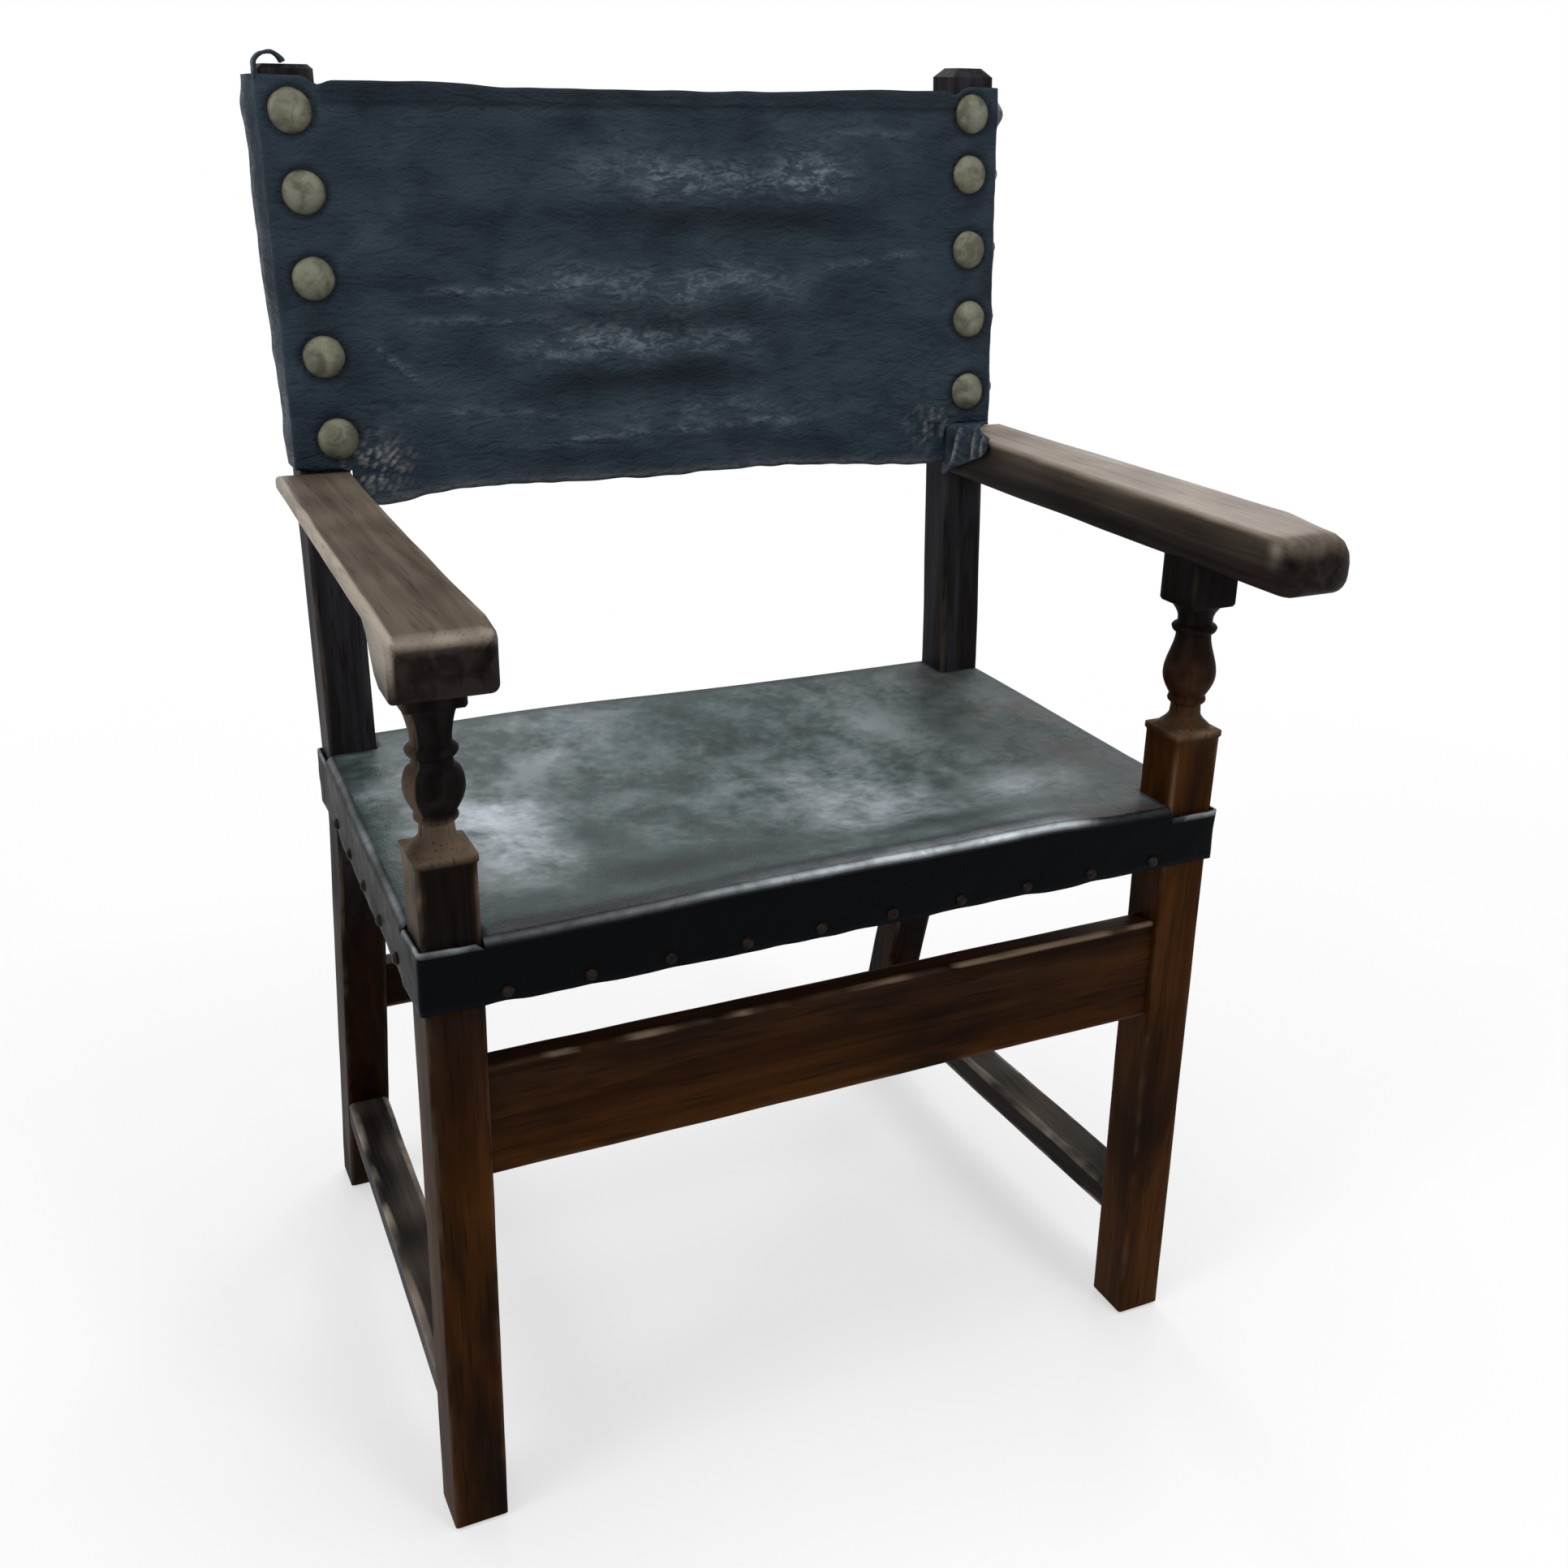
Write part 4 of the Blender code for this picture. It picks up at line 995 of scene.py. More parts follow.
def seat_border(across, rows):
    """Columns round the seat, as (base point, outward direction, top grid place or None)."""
    inner = [i for i, c in enumerate(across) if abs(c) <= 1]
    middle = [j for j, y in enumerate(rows) if LEG_BACK - NOTCH_CLEAR < y < POST_SEAT + NOTCH_CLEAR]

    def end_edge(order, y, out, j):
        return [(Vector((seat_x(across[i], rows[j]), y, 0)), out, (i, j)) for i in order]

    def side_edge(order, out, i):
        places = [(j, Vector((out.x * (frame_side(rows[j]) + SKIN), rows[j], 0))) for j in order]
        return [(place, out, (i, j)) for j, place in places]

    corners = [seat_corner(*corner) for corner in ((-1, -1, 180), (1, -1, 270), (1, 1, 0), (-1, 1, 90))]
    edges = [end_edge(inner, SEAT_FRONT, FRONT, 0), side_edge(middle, RIGHT, len(across) - 1),
             end_edge(inner[::-1], SEAT_REAR, REAR, len(rows) - 1), side_edge(middle[::-1], LEFT, 0)]
    border = []
    for corner, edge, following in zip(corners, edges, corners[1:] + corners[:1]):
        out = edge[0][1]
        border += corner + seat_band(corner[-1], edge[0], out)
        border += edge + seat_band(edge[-1], following[0], out)
    return border


# Pale patches of the seat's top, rubbed and with a painted sheen, and dark ones: middle, half width, half
# depth and how much paler
SEAT_WEAR_SHEEN = 0.45
SEAT_PATCHES = (
    (-0.202, -0.020, 0.040, 0.060, 0.52),
    (-0.202, -0.090, 0.035, 0.048, 0.34),
    (-0.140, 0.110, 0.070, 0.060, 0.26),
    (-0.255, 0.020, 0.040, 0.100, 0.30),
    (-0.095, 0.030, 0.030, 0.040, 0.08),
    (0.066, -0.052, 0.062, 0.050, 0.40),
    (0.060, -0.112, 0.045, 0.034, 0.26),
    (0.200, -0.112, 0.036, 0.028, 0.36),
    (0.150, 0.055, 0.050, 0.040, 0.10),
    (0.185, 0.122, 0.050, 0.030, 0.16),
    (0.265, 0.040, 0.025, 0.050, 0.12),
    (-0.010, 0.120, 0.070, 0.035, -0.14),
    (-0.150, -0.070, 0.022, 0.060, -0.18),
    (-0.115, -0.148, 0.075, 0.030, -0.34),
    (0.110, -0.153, 0.050, 0.017, -0.28),
    (0.146, -0.072, 0.018, 0.030, -0.30),
    (0.205, 0.030, 0.022, 0.050, -0.18),
    (0.237, 0.090, 0.022, 0.035, -0.24),
    (0.265, 0.132, 0.022, 0.030, -0.30),
    (0.235, 0.000, 0.100, 0.110, 0.06),
    (-0.235, -0.175, 0.040, 0.020, -0.15),
    (-0.275, 0.120, 0.035, 0.045, -0.16),
)


def seat_wear_and_sheen(x, y):
    """How pale the seat's top is, rubbed and with a painted sheen; it stays dark just behind its folds."""
    worn_and_sheen = SEAT_WEAR_SHEEN + 0.08 * wobble((x, y, 0), 0.05, 13)
    for middle_x, middle_y, half_x, half_y, paler in SEAT_PATCHES:
        worn_and_sheen += paler * hill(x, middle_x, half_x) * hill(y, middle_y, half_y)
    inside = ramp(y - LEG_FRONT, 0.006, 0.030) * ramp(SEAT_BACK - y, -0.004, 0.016)
    return max(0.0, worn_and_sheen) * inside * between(0.6, 1.0, ramp(frame_side(y) - abs(x), 0.0, 0.010))


def seat_brown(x, y):
    """How brown the seat's top is: only toward the right."""
    return clamp(0.75 * hill(x, 0.275, 0.10) * (0.8 + 0.5 * wobble((x, y, 0), 0.04, 14)))


def fold_wear_glint(base, out):
    """How pale the fold is, rubbed and with a painted highlight: strong along the front to the right, faint
    elsewhere.
    """
    if out.y > -0.5:
        return 0.30 * patchy(0.6, 0.8, base, 0.05, 17)
    along = between(0.14, 0.95, ramp(base.x, -0.22, 0.15)) * between(0.05, 1.0, ramp(base.x, 0.210, 0.165))
    return clamp(along * (0.98 + 0.50 * wobble(base, 0.030, 18)))


def seat_leather(look):
    """The seat's hide: its top, rolled edge and skirt."""
    across, rows = seat_grid()
    fold_end = SEAT_FRONT + SEAT_ROLL
    verts = []
    marks = {"worn_and_sheen": [], "brown": [], "edge": []}

    def add(point, worn_and_sheen=0.0, brown=0.0, edge=0.0):
        for mark, value in zip(marks, (worn_and_sheen, brown, edge)):
            marks[mark].append(value)
        verts.append(point)
        return len(verts) - 1

    grid = {}
    for j, y in enumerate(rows):
        at_upright = y < LEG_BACK or y > POST_SEAT
        for i, c in enumerate(across):
            if abs(c) <= 1 or not at_upright:
                x = seat_x(c, y)
                point = Vector((x, y, seat_top_shape(x, y)))
                # A softer painted highlight runs onto the top just behind the fold
                soft_line = FOLD_SOFT * fold_wear_glint(point, FRONT) * ramp(y, fold_end + FOLD_REACH, fold_end)
                grid[i, j] = add(point, seat_wear_and_sheen(x, y), seat_brown(x, y), soft_line)

    skirt_heights = spaced(SKIRT_LOW, SEAT_TOP - SEAT_ROLL, SKIRT_STEP)
    columns = []
    for base, out, top_key in seat_border(across, rows):
        before_leg = top_key is None and base.y < LEG_BACK
        lift = BAND_LIFTS[side_of(base.x)] if before_leg else edge_lift(base.x, base.y)
        column = [add(skirt_point(base, out, z, lift)) for z in skirt_heights]
        columns.append(column)
        start = verts[column[-1]]
        if top_key is None:
            start.z += BAND_WAVE * wobble(base, 0.012, 7) - BAND_DROP
            # Pale upper edge of the band at each leg: rubbed, with a painted highlight
            marks["edge"][column[-1]] = 0.55 * patchy(0.5, 1.0, base, 0.012, 19)
            continue
        end = verts[grid[top_key]]
        pale = fold_wear_glint(base, out)
        palest = FOLD_TURN + 5 * wobble(base, 0.06, 20)
        for degrees in ROLL_TURNS:
            inward = 1 - math.cos(math.radians(degrees))
            upward = math.sin(math.radians(degrees))
            point = Vector((between(start.x, end.x, inward), between(start.y, end.y, inward),
                            between(start.z, end.z, upward)))
            # The roll is palest at its painted highlight, near FOLD_TURN degrees
            least = FOLD_SOFT * ramp(degrees, FOLD_TURN, 90) if out.y < -0.5 else 0.0
            column.append(add(point, edge=pale * max(least, hill(degrees, palest, 20))))
        column.append(grid[top_key])

    faces = cell_faces(grid, len(across), len(rows))
    for column, following in zip(columns, columns[1:] + columns[:1]):
        for k in range(min(len(column), len(following)) - 1):
            faces.append((column[k], following[k], following[k + 1], column[k + 1]))
    piece = make_hide("hide_seat", verts, faces, look, "seat_leather", marks)
    return piece


# Back leather: a hide across the posts, wrapped round their outer sides

NAIL_NAMES = [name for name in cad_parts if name.startswith("back_nail_")]
NAIL_CLEAR = 0.0003


def nail_seat(name):
    """Where a large nail's head sits on the back leather."""
    low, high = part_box(name)
    z = high.z - NAIL_RADIUS
    return Vector(((low.x + high.x) / 2, post_front(z) - SKIN - NAIL_CLEAR, z))


nail_points = [nail_seat(name) for name in NAIL_NAMES]
# Long swells across the back: height of the upper slope, middle, half length, how far it stands out
# and half height
SWELLS = (
    (0.930, 0.055, 0.185, 0.0030, 0.020),
    (0.846, 0.000, 0.160, 0.0026, 0.017),
    (0.802, -0.020, 0.150, 0.0032, 0.019),
    (0.742, 0.020, 0.220, 0.0012, 0.015),
)
SWELL_FULL = 0.0030
SWELL_WANDER = 0.008
# Creases: height at its middle, slope, half length, middle and depth
CREASES = (
    (0.955, 0.060, 0.060, 0.180, 0.0010),
    (0.842, 0.030, 0.110, -0.160, 0.0010),
    (0.822, -0.020, 0.090, -0.150, 0.0008),
    (0.790, -0.810, 0.034, -0.218, 0.0014),
    (0.858, 0.100, 0.080, 0.190, 0.0009),
    (0.752, -0.120, 0.090, -0.150, 0.0012),
    (0.728, 0.020, 0.200, 0.000, 0.0010),
)
CREASE_WANDER = 0.005
BACK_STEP = 0.0030
COLUMN_STEPS = (0.0034, 0.0012, 0.0045)
BACK_HALF = POST_OUTER + SKIN
BACK_FLAT = BACK_HALF - BACK_CORNER
BACK_ARC = BACK_CORNER * math.pi / 2
BACK_STAND = 0.0004
WRINKLE = 0.0011
BACK_GRAIN = 0.00035
# The hide round a nail: its puckered rim, its dip, and the rings beside the right-hand nails
PUCKER = 0.0010
PUCKER_RADIUS = 0.0215
NAIL_DIP = 0.0006
RING_RISE = 0.0005
RING_STEP = 0.009
# Hems: height, rise and step of the turned edge, and how high up a hem's sway is felt
HEM = 0.0095
HEM_LINE = BACK_HEM_HIGH - HEM
HEM_RISE = 0.0009
HEM_STEP = 0.002
HEM_REACH = 0.05
# The lower hem: its level, how far the middle and both ends hang below it
HEM_LEVEL = 0.0050
HEM_MIDDLE = 0.0052
HEM_LEFT = 0.009
HEM_RIGHT = 0.012
# The upper hem rises toward the posts and dips beside them
HEM_TOP_RISE = 0.003
HEM_TOP_DIP = 0.003
HEM_TOP_WAVE = 0.0010
# The hide's foot over the arms: its waves, and the tongue that reaches lower at its inner end
FOOT_WAVE = 0.0014
FOOT_TONGUE = -0.0021
# Flaps: how far they stand off at the nails and at the highest nail, and how far the upper part does
FLAP_BULGES = {-1: (0.0012, 0.0020), 1: (0.0120, 0.0165)}
FLAP_STANDS = {-1: 0.0045, 1: 0.0}
FLAP_WAVE = 0.0010
# Crumpled leather beside the arms
CRUMPLE_X = 0.243
CRUMPLE_Z = 0.720
CRUMPLE_FOLD = 0.010
CRUMPLE_RISE = 0.0030
# How pale the crumple's crests are, from fraying and a painted highlight
CRUMPLE_FRAY_GLINTS = {-1: 1.1, 1: 0.5}
# The loose corner over the right arm: lengths down the arm's side and over its top
CORNER_GAP = 0.0012
CORNER_STEP = 0.0024
CORNER_FRONT = 0.074
CORNER_LENGTH = 0.038
CORNER_TOP = 0.038
CORNER_ROUND = 0.004
CORNER_FOLD = 0.0050
CORNER_RAGGED = 0.004
# The curl on the left post's top
CURL_MIDDLE = -0.2937
CURL_HALF = 0.0108
CURL_HEIGHT = 0.0088
CURL_WIDTH = 0.013
CURL_TAIL = 0.010
CURL_SWAY = 0.0010


def swell_relief(x, z):
    """Height of the long swells, with how lit and how shaded they are."""
    relief, lit, dim = 0.0, 0.0, 0.0
    for slope_z, middle, reach, stand, half in SWELLS:
        line = slope_z + SWELL_WANDER * wobble((x, 0, 0), 0.07, 30 * slope_z)
        fade = ramp(abs(x - middle), reach, 0.25 * reach)
        relief += stand * fade * hill(z, line - 0.7 * half, half)
        lit += fade * hill(z, line, 0.9 * half) * stand / SWELL_FULL
        dim += fade * hill(z, line - 1.6 * half, 0.6 * half) * stand / SWELL_FULL
    return relief, clamp(lit), clamp(dim)


def crease_relief(x, z):
    """Depth of the narrow creases, outward positive, and how much painted highlight shows on their crests.
    """
    relief, show = 0.0, 0.0
    for height, slope, reach, middle, depth in CREASES:
        line = height + slope * (x - middle) + CREASE_WANDER * wobble((x, 0, 0), 0.05, height * 40)
        fade = ramp(abs(x - middle), reach, 0.3 * reach) * (0.7 + 0.6 * wobble((x, z, 0), 0.03, 3))
        crest = hill(z, line + 0.003, 0.0035)
        relief += depth * fade * (0.8 * crest - hill(z, line - 0.002, 0.0030))
        show += fade * crest
    return relief, clamp(show)


def nail_relief(x, z):
    """The hide dips under each nail's head and ripples round it; also how shaded it is there."""
    relief, shade = 0.0, 0.0
    for nail in nail_points:
        reach = math.hypot(x - nail.x, z - nail.z)
        around = math.atan2(z - nail.z, x - nail.x)
        relief += PUCKER * hill(reach, PUCKER_RADIUS, 0.006) * (1 + 0.5 * math.sin(5 * around + 40 * nail.z))
        relief -= NAIL_DIP * hill(reach, 0.0, 0.014)
        if nail.x > 0:
            ripple = math.sin(2 * math.pi * reach / RING_STEP + 1.5 * wobble((x, 0, z), 0.03, 9))
            relief += RING_RISE * ripple * hill(reach, 0.040, 0.016) * ramp(nail.x - x, -0.005, 0.015)
        shade = max(shade, hill(reach, NAIL_RADIUS + 0.0005, 0.0025))
    return relief, shade


def fold_ridge(across, along, size, seed):
    """Crumpled folds: 1 on the crest of a fold, falling to 0 beside it."""
    return clamp(1 - 2.2 * abs(wobble((across, along, 0), size, 7 + 4 * seed)))


def crumple_relief(x, z):
    """Crumpled leather beside the arms: its relief, and how pale its crests are from fraying and a painted
    highlight.
    """
    amount = hill(abs(x), CRUMPLE_X, 0.020) * hill(z, CRUMPLE_Z, 0.018)
    across = 1.6 * (0.8 * abs(x) - 0.6 * z)
    along = 0.7 * (0.6 * abs(x) + 0.8 * z)
    folds = fold_ridge(across, along, CRUMPLE_FOLD, int(x > 0))
    fray_and_glint = CRUMPLE_FRAY_GLINTS[side_of(x)] * amount * ramp(folds, 0.62, 0.95)
    return CRUMPLE_RISE * amount * (folds - 0.5), fray_and_glint


def hem_low(u):
    """Height of the lower hem: it hangs in the middle and at both ends, most at the right."""
    sway = HEM_LEVEL - HEM_MIDDLE * hill(u, -0.01, 0.15)
    return BACK_HEM_LOW + sway - HEM_LEFT * ramp(-u, 0.170, 0.245) - HEM_RIGHT * ramp(u, 0.060, 0.262)


def hem_relief(x, z):
    """Turned hems at top and bottom: their relief, the upper one's shade and how frayed the lower is."""
    low = hem_low(x)
    on_panel = ramp(abs(x), BACK_NOTCH + 0.004, BACK_NOTCH - 0.004)
    upper = on_panel * ramp(z, HEM_LINE, HEM_LINE + HEM_STEP)
    lower = on_panel * ramp(z, low + HEM, low + HEM - HEM_STEP)
    shade = max(0.7 * on_panel * hill(z, HEM_LINE - 0.002, 0.003), 0.5 * upper)
    fray_and_glint = 0.2 * on_panel * hill(z, low + 0.002, 0.003)
    return HEM_RISE * max(upper, lower), shade, fray_and_glint


def back_relief(x, z):
    """Outward relief of the back leather, with its marks: painted sheen, painted shade, and fray with
    painted highlights.
    """
    panel = ramp(abs(x), POST_INNER + 0.002, POST_INNER - 0.030)
    swell, lit, dim = swell_relief(x, z)
    crease, show = crease_relief(x, z)
    dip, ring = nail_relief(x, z)
    crumple, crumple_fray_glint = crumple_relief(x, z)
    hem, hem_shade, hem_fray = hem_relief(x, z)
    wrinkles = WRINKLE * wobble((x * 0.5, 0, z), 0.018, 2)
    relief = panel * (swell + crease + wrinkles) + dip + BACK_GRAIN * wobble((x, 0, z), 0.009, 5)
    rough = patchy(0.5, 0.9, (x, 0, z), 0.035, 21)
    # Painted sheen: on the lit swells, on crease crests and in random patches
    painted_sheen = clamp(panel * (lit * (0.5 + 0.5 * rough) + 0.7 * show + 0.16 * rough))
    # Painted shade under the swells, round the nails and at the upper hem
    shade = clamp(max(0.7 * dim * panel, 0.9 * ring, hem_shade))
    return relief + crumple + hem, (painted_sheen, shade, clamp(crumple_fray_glint + hem_fray))


def back_columns():
    """Distances along the hide from the middle of the back, left to right."""
    wide, tight, loose = COLUMN_STEPS
    flap_end = BACK_FLAT + BACK_ARC + BACK_FLAP + SKIN - BACK_CORNER
    right = spaced(0.0, BACK_NOTCH, wide)
    right += spaced(BACK_NOTCH, BACK_FLAT, wide)[1:]
    right += spaced(BACK_FLAT, BACK_FLAT + BACK_ARC, tight)[1:]
    right += spaced(BACK_FLAT + BACK_ARC, flap_end, loose)[1:]
    return [-u for u in reversed(right[1:])] + right


def back_point(u, z):
    """Point and outward direction at a distance along the hide and a height."""
    side = side_of(u)
    face = post_front(z) - SKIN
    past = abs(u) - BACK_FLAT
    if past <= 0:
        return Vector((u, face, z)), FRONT
    if past < BACK_ARC:
        turn = past / BACK_CORNER
        out = Vector((side * math.sin(turn), -math.cos(turn), 0))
        return Vector((side * BACK_FLAT, face + BACK_CORNER, z)) + out * BACK_CORNER, out
    return Vector((side * BACK_HALF, face + BACK_CORNER + past - BACK_ARC, z)), Vector((side, 0, 0))


def back_height(u, height, over_post):
    """Height of a point of the hide, once its hems sway and its foot is uneven."""
    hem_high = BACK_HEM_HIGH + HEM_TOP_RISE * ramp(abs(u), 0.10, 0.20)
    top = between(hem_high, BACK_POST_HIGH, ramp(abs(u), BACK_NOTCH, BACK_NOTCH + 0.012))
    top -= HEM_TOP_DIP * hill(abs(u), BACK_NOTCH, 0.006)
    z = height + (top - BACK_POST_HIGH) * ramp(height, BACK_POST_HIGH - HEM_REACH, BACK_POST_HIGH)
    uneven = FOOT_WAVE * wobble((u, 0, 0), 0.018, 2)
    foot = BACK_HEM_LOW
    if over_post:
        uneven = between(uneven, FOOT_TONGUE, hill(abs(u), BACK_NOTCH, 0.007))
        foot = BACK_POST_LOW
    else:
        z += (hem_low(u) - BACK_HEM_LOW) * ramp(height, BACK_HEM_LOW + HEM_REACH, BACK_HEM_LOW)
    z += ramp(height, foot + 0.03, foot) * uneven
    return z + ramp(z, top - 0.02, top) * HEM_TOP_WAVE * wobble((u, 0, 0), 0.030, 4)


def flap_bulge(u, z):
    """How far the turned-back flap stands off its post, most beside the nails."""
    side = side_of(u)
    small, large = FLAP_BULGES[side]
    on_flap = ramp(abs(u), BACK_FLAT + 0.002, BACK_FLAT + 0.022)
    heights = sorted(nail.z for nail in nail_points if nail.x * side > 0)
    stand = max(small * hill(z, height, 0.011) for height in heights[:-1])
    stand = max(stand, large * hill(z, heights[-1], 0.014))
    stand += FLAP_STANDS[side] * ramp(z, 0.74, 0.90)
    return on_flap * (stand + FLAP_WAVE * wobble((u, 0, z), 0.02, 6))


def post_curl(look):
    """A loose end of the back hide that curls over the left post's top."""
    top = POST_TOPS["left"]
    front = post_front(top) - SKIN
    left = CURL_MIDDLE - CURL_HALF
    line = [(left - 0.0006, top - CURL_TAIL), (left, top - 0.3 * CURL_TAIL)]
    for degrees in range(180, 9, -10):
        turn = math.radians(degrees)
        x = CURL_MIDDLE + CURL_HALF * math.cos(turn)
        line.append((x, top + CURL_HEIGHT * max(0.08, math.sin(turn))))
    depths = spaced(0.0, CURL_WIDTH, CURL_WIDTH / 5)
    verts = []
    for x, z in line:
        for depth in depths:
            sway = CURL_SWAY * wobble((x, depth, z), 0.008, 4)
            verts.append(Vector((x + sway, front + depth - 2 * sway, z + sway)))
    # The curl carries an even painted sheen
    marks = {mark: [value] * len(verts) for mark, value in (("painted_sheen", 0.25), ("shade", 0.0), ("fray_and_glint", 0.0))}
    faces = strip_faces(len(line), len(depths))
    return make_hide("hide_back_curl", verts, faces, look, "back_leather", marks)


def corner_front(along):
    """Y of the front edge of the loose corner, at a distance down the arm's side; negative is on its top."""
    rear = post_front(ARM_TOP)
    if along < 0:
        return between(CORNER_FRONT, rear - 0.008, ramp(-along, -0.02, CORNER_TOP))
    return between(CORNER_FRONT, rear - 0.012, ramp(along, 0.004, CORNER_LENGTH + 0.004))


def loose_corner(look):
    """The back hide's lower right corner, hanging crumpled over the rear end of the arm."""
    verts = []
    marks = {"painted_sheen": [], "shade": [], "fray_and_glint": []}
    lines = spaced(-CORNER_TOP, CORNER_LENGTH, CORNER_STEP)
    parts = spaced(0.0, 1.0, 0.04)
    for along in lines:
        down = max(0.0, along)
        rear = post_front(ARM_TOP - down) - SKIN - 0.0025
        front = corner_front(along) + CORNER_RAGGED * wobble((along, 0, 0), 0.010, 6)
        turn = math.radians(90 * clamp(0.5 - along / (2 * CORNER_ROUND)))
        out = Vector((-math.cos(turn), 0.0, math.sin(turn)))
        rise = CORNER_FOLD * (1 - 0.6 * hill(along, -CORNER_TOP, 0.02))
        hang = ramp(along, -0.004, 0.006) * ramp(along, 0.030, 0.018)
        for part in parts:
            y = between(rear, front, part)
            folds = fold_ridge(y, 0.3 * along, 0.020, 3)
            point = Vector((arm_span(y, 1)[0] + max(0.0, -along), y, ARM_TOP - down))
            verts.append(point + out * (CORNER_GAP + HIDE_THICK + rise * folds))
            # Painted sheen on the fold crests
            marks["painted_sheen"].append(0.30 + 0.25 * folds)
            # Painted shade between the folds
            marks["shade"].append(0.5 * (1 - folds) * ramp(along, 0.0, 0.006))
            # Fraying with a painted highlight on the hanging fold crests
            marks["fray_and_glint"].append(0.9 * hang * ramp(folds, 0.65, 0.95))
    faces = strip_faces(len(lines), len(parts))
    return make_hide("hide_back_corner", verts, faces, look, "back_leather", marks)


def back_leather(look):
    """The back's hide: a creased panel, its hems and the flaps round the posts."""
    columns = back_columns()
    rows = spaced(BACK_HEM_LOW, BACK_POST_LOW, BACK_STEP)[:-1]
    rows += spaced(BACK_POST_LOW, BACK_POST_HIGH, BACK_STEP)
    verts = []
    marks = {"painted_sheen": [], "shade": [], "fray_and_glint": []}
    grid = {}
    for j, height in enumerate(rows):
        for i, u in enumerate(columns):
            over_post = abs(u) > BACK_NOTCH + 0.0001
            if over_post and height < BACK_POST_LOW - 0.0001:
                continue
            z = back_height(u, height, over_post)
            point, out = back_point(u, z)
            relief, shown = back_relief(u, z)
            point += out * (relief + flap_bulge(u, z) + BACK_STAND)
            point.y += BACK_BOW * (1 - ramp(abs(u), 0.02, POST_INNER)) * ramp(z, BACK_HEM_LOW - 0.15, 0.85)
            grid[i, j] = len(verts)
            verts.append(point)
            for mark, value in zip(marks, shown):
                marks[mark].append(value)
    faces = cell_faces(grid, len(columns), len(rows))
    piece = make_hide("hide_back", verts, faces, look, "back_leather", marks)
    loose = [post_curl(look), loose_corner(look)]
    return piece


# Nails and tacks


def domed_head(node, seat, outward, sizes, segments, rings, look, seed):
    """Hammered nail head, seated on the leather."""
    radius, dome, rim = sizes
    place = Matrix.Translation(seat) @ outward.to_track_quat("Z", "Y").to_matrix().to_4x4()
    profile = [(radius * 0.93, -0.0004), (radius, 0.35 * rim), (radius * 0.985, rim)]
    for i in range(1, rings):
        part = 1 - i / rings
        profile.append((radius * part, rim + dome * (1 - part ** DOME_POWER)))
    skin = []
    crown = []
    for r, z in profile:
        ring = []
        for i in range(segments):
            turn = 2 * math.pi * i / segments
            flat = Vector((r * math.cos(turn), r * math.sin(turn), z))
            dent = wobble(flat, 0.55 * radius, seed)
            flat.x *= 1 + 0.035 * dent
            flat.y *= 1 + 0.035 * wobble(flat, 0.8 * radius, seed + 4)
            flat.z += 0.05 * radius * dent * (1 - r / radius)
            ring.append(place @ flat)
            crown.append(1 - 0.7 * r / radius)
        skin.append(ring)
    return make_piece("head_" + node, *skin_over(skin), look, node, {"crown": crown})


# The chair

leg_woods = {"left": (dark_wood("wood_leg_left", 2, 0.0), "dark_wood"),
             "right": (dark_wood("wood_leg_right", 2, 7.0, turn=RIGHT_LEG_TURN), "dark_wood")}
# The back posts: darker low colours for painted shade, grey painted sheen above
post_wood_shade_sheen = (dark_wood("wood_post_shade_sheen", 2, 11.0, (WOOD_BLACK, WOOD_BROWN), (WOOD_COOL, WOOD_GREY_SHEEN)), "dark_wood")
board_wood = (dark_wood("wood_board", 0, 20.0), "dark_wood")
# Darker low colours for painted shade on the rear stretcher; the front and back seat rails share them
cross_wood_shaded = (dark_wood("wood_crosswise_shaded", 0, 30.0, (WOOD_BLACK, WOOD_BROWN)), "dark_wood")
rail_wood = dark_wood("wood_rail", 1, 40.0)
worn_wood = (arm_wood("wood_worn", 1, 60.0), "worn_wood")
brass = (dull_metal("brass_dull", BRASS_DARK, BRASS_DULL, BRASS_PALE, 0.012), "dull_brass")
iron = (dull_metal("iron_dull", IRON_DARK, IRON_PALE, IRON_PALE, 0.004), "dull_iron")

for side_name, side in SIDES:
    front_leg(side_name, side, leg_woods[side_name])
    back_post(side_name, side, post_wood_shade_sheen)
    arm(side_name, side, worn_wood)
    side_bar(side_name, side, worn_wood)
cross_bar("front_stretcher", board_low, board_high, LEG_INNER, board_wood, BOARD_EDGE, 51, board_wear)
cross_bar("rear_stretcher", rear_low, rear_high, POST_INNER, cross_wood_shaded, REAR_BAR_EDGE, 53)
for name in ("seat_rail_front", "seat_rail_back", "seat_rail_left", "seat_rail_right"):
    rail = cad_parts[name].data
    rail.materials.clear()
    rail.materials.append(cross_wood_shaded[0] if name.endswith(("front", "back")) else rail_wood)

seat_leather((seat_hide(), "seat_hide"))
back_leather((back_hide(), "back_hide"))

rake = math.atan(POST_RAKE)
nail_out = Vector((0, -math.cos(rake), math.sin(rake)))
for number, (name, seat) in enumerate(zip(NAIL_NAMES, nail_points)):
    domed_head(name, seat, nail_out, NAIL_HEAD, 36, 9, brass, number)
for side_name, outward in (("front", FRONT), ("left", LEFT), ("right", RIGHT)):
    for number, name in enumerate(TACKS[side_name]):
        seat = middle_of(name)
        if side_name == "front":
            seat.y = SEAT_FRONT
        else:
            seat.x = outward.x * (frame_side(seat.y) + SKIN)
        domed_head(name, seat, outward, TACK_HEAD, 16, 5, iron, number)


# Floor, light and camera


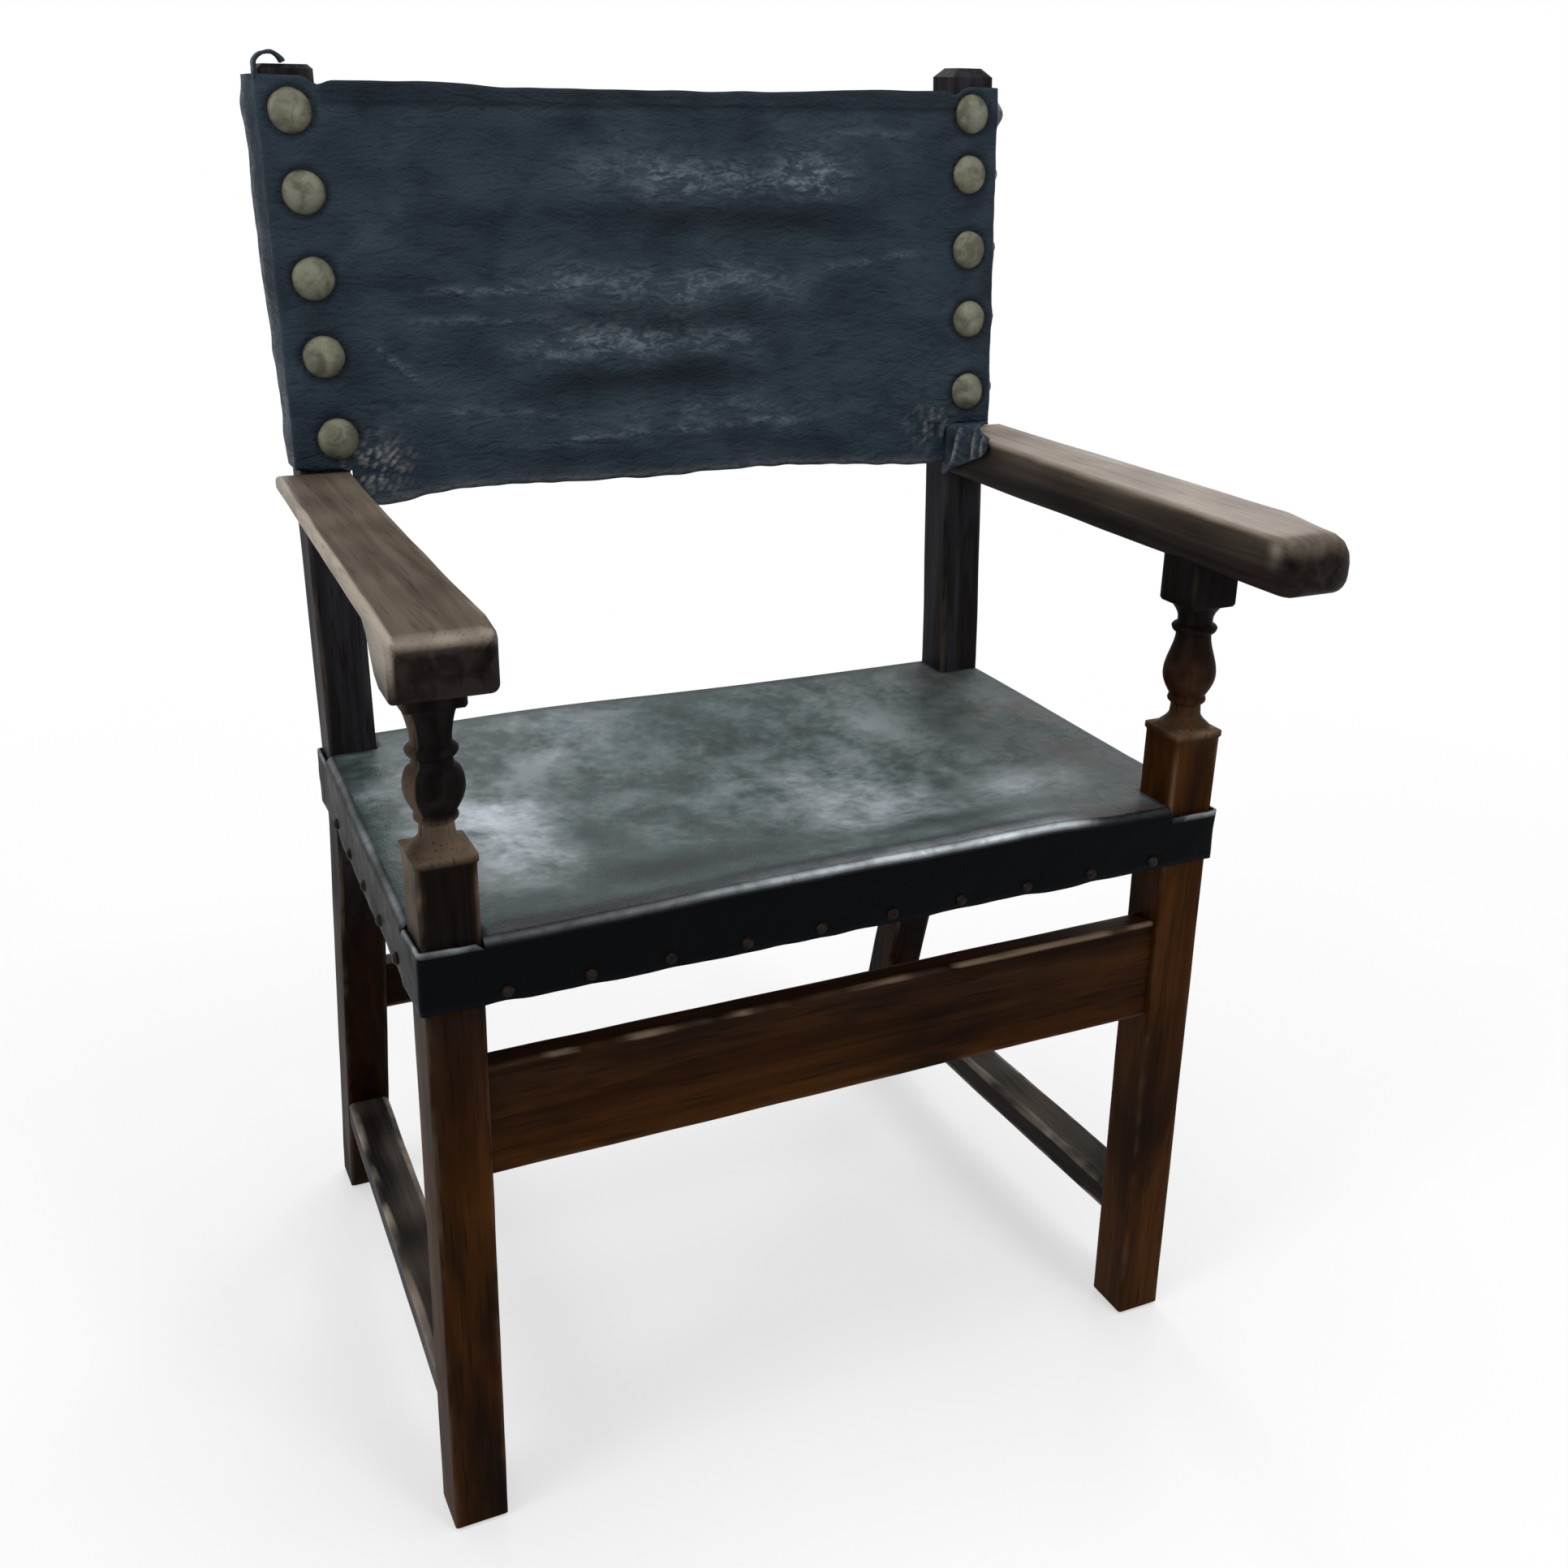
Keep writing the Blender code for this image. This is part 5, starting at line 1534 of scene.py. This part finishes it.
def seen_directly(paint):
    """1 for what the camera, a reflection or clear material sees, 0 for light on the chair."""
    path = paint.node("LightPath", {})
    seen = paint.math("MAXIMUM", path.outputs["Is Camera Ray"], path.outputs["Is Glossy Ray"])
    return paint.math("MAXIMUM", seen, path.outputs["Is Transmission Ray"])


def make_floor():
    """Pale floor that keeps the chair's shadow and fades to white away from it."""
    mesh = bpy.data.meshes.new("floor")
    corners = [(a * FLOOR_HALF, b * FLOOR_HALF, 0) for a, b in ((-1, -1), (1, -1), (1, 1), (-1, 1))]
    mesh.from_pydata(corners, [], [(0, 1, 2, 3)])
    floor = bpy.data.objects.new("floor", mesh)
    bpy.context.scene.collection.objects.link(floor)
    fixed = {"Base Color": (*FLOOR_PALE, 1.0), "Roughness": 0.9, "Specular IOR Level": 0.0}
    paint = new_paint("floor", fixed)
    away = paint.node("VectorMath", {0: paint.place()}, operation="LENGTH").outputs["Value"]
    fade = paint.spread(away, FLOOR_FADE_START, FLOOR_FADE_END, FLOOR_FADE_LEAST)
    white = paint.node("Emission", {"Color": (*WHITE, 1.0), "Strength": 1.0}).outputs[0]
    shaders = {0: paint.times(fade, seen_directly(paint)), 1: paint.surface.outputs[0], 2: white}
    blend = paint.node("MixShader", shaders).outputs[0]
    paint.feed(paint.tree.nodes["Material Output"].inputs["Surface"], blend)
    mesh.materials.append(paint.owner)


def make_world():
    """Even soft light, with a white background where it is seen."""
    world = bpy.data.worlds.new("studio")
    bpy.context.scene.world = world
    paint = Paint(world, "Background", {"Color": (*WHITE, 1.0)})
    paint.feed(paint.surface.inputs["Strength"], paint.spread(seen_directly(paint), 0.0, 1.0, AMBIENT))


def make_light(name, place, target, width, height, power):
    """A soft box of light, aimed at a point."""
    data = bpy.data.lights.new(name, "AREA")
    data.shape = "RECTANGLE"
    data.size = width
    data.size_y = height
    data.energy = power
    lamp = bpy.data.objects.new(name, data)
    aim = (Vector(target) - Vector(place)).to_track_quat("-Z", "Y").to_matrix().to_4x4()
    lamp.matrix_world = Matrix.Translation(Vector(place)) @ aim
    lamp.visible_camera = False
    bpy.context.scene.collection.objects.link(lamp)


def make_camera():
    """The camera that sees the chair as in the photograph."""
    turn, down, lean = (math.radians(degrees) for degrees in (CAMERA_TURN, CAMERA_DOWN, CAMERA_LEAN))
    forward = Vector((math.sin(turn) * math.cos(down), math.cos(turn) * math.cos(down), -math.sin(down)))
    level_right = Vector((math.cos(turn), -math.sin(turn), 0))
    level_down = forward.cross(level_right)
    right = level_right * math.cos(lean) + level_down * math.sin(lean)
    upward = level_right * math.sin(lean) - level_down * math.cos(lean)
    data = bpy.data.cameras.new("camera")
    data.lens = CAMERA_LENS
    camera = bpy.data.objects.new("camera", data)
    axes = Matrix((right, upward, -forward)).transposed()
    camera.matrix_world = Matrix.Translation(CAMERA_PLACE) @ axes.to_4x4()
    bpy.context.scene.collection.objects.link(camera)
    bpy.context.scene.camera = camera


make_floor()
make_world()
for light in LIGHTS:
    make_light(*light)
make_camera()
bpy.context.scene.view_settings.view_transform = "Standard"
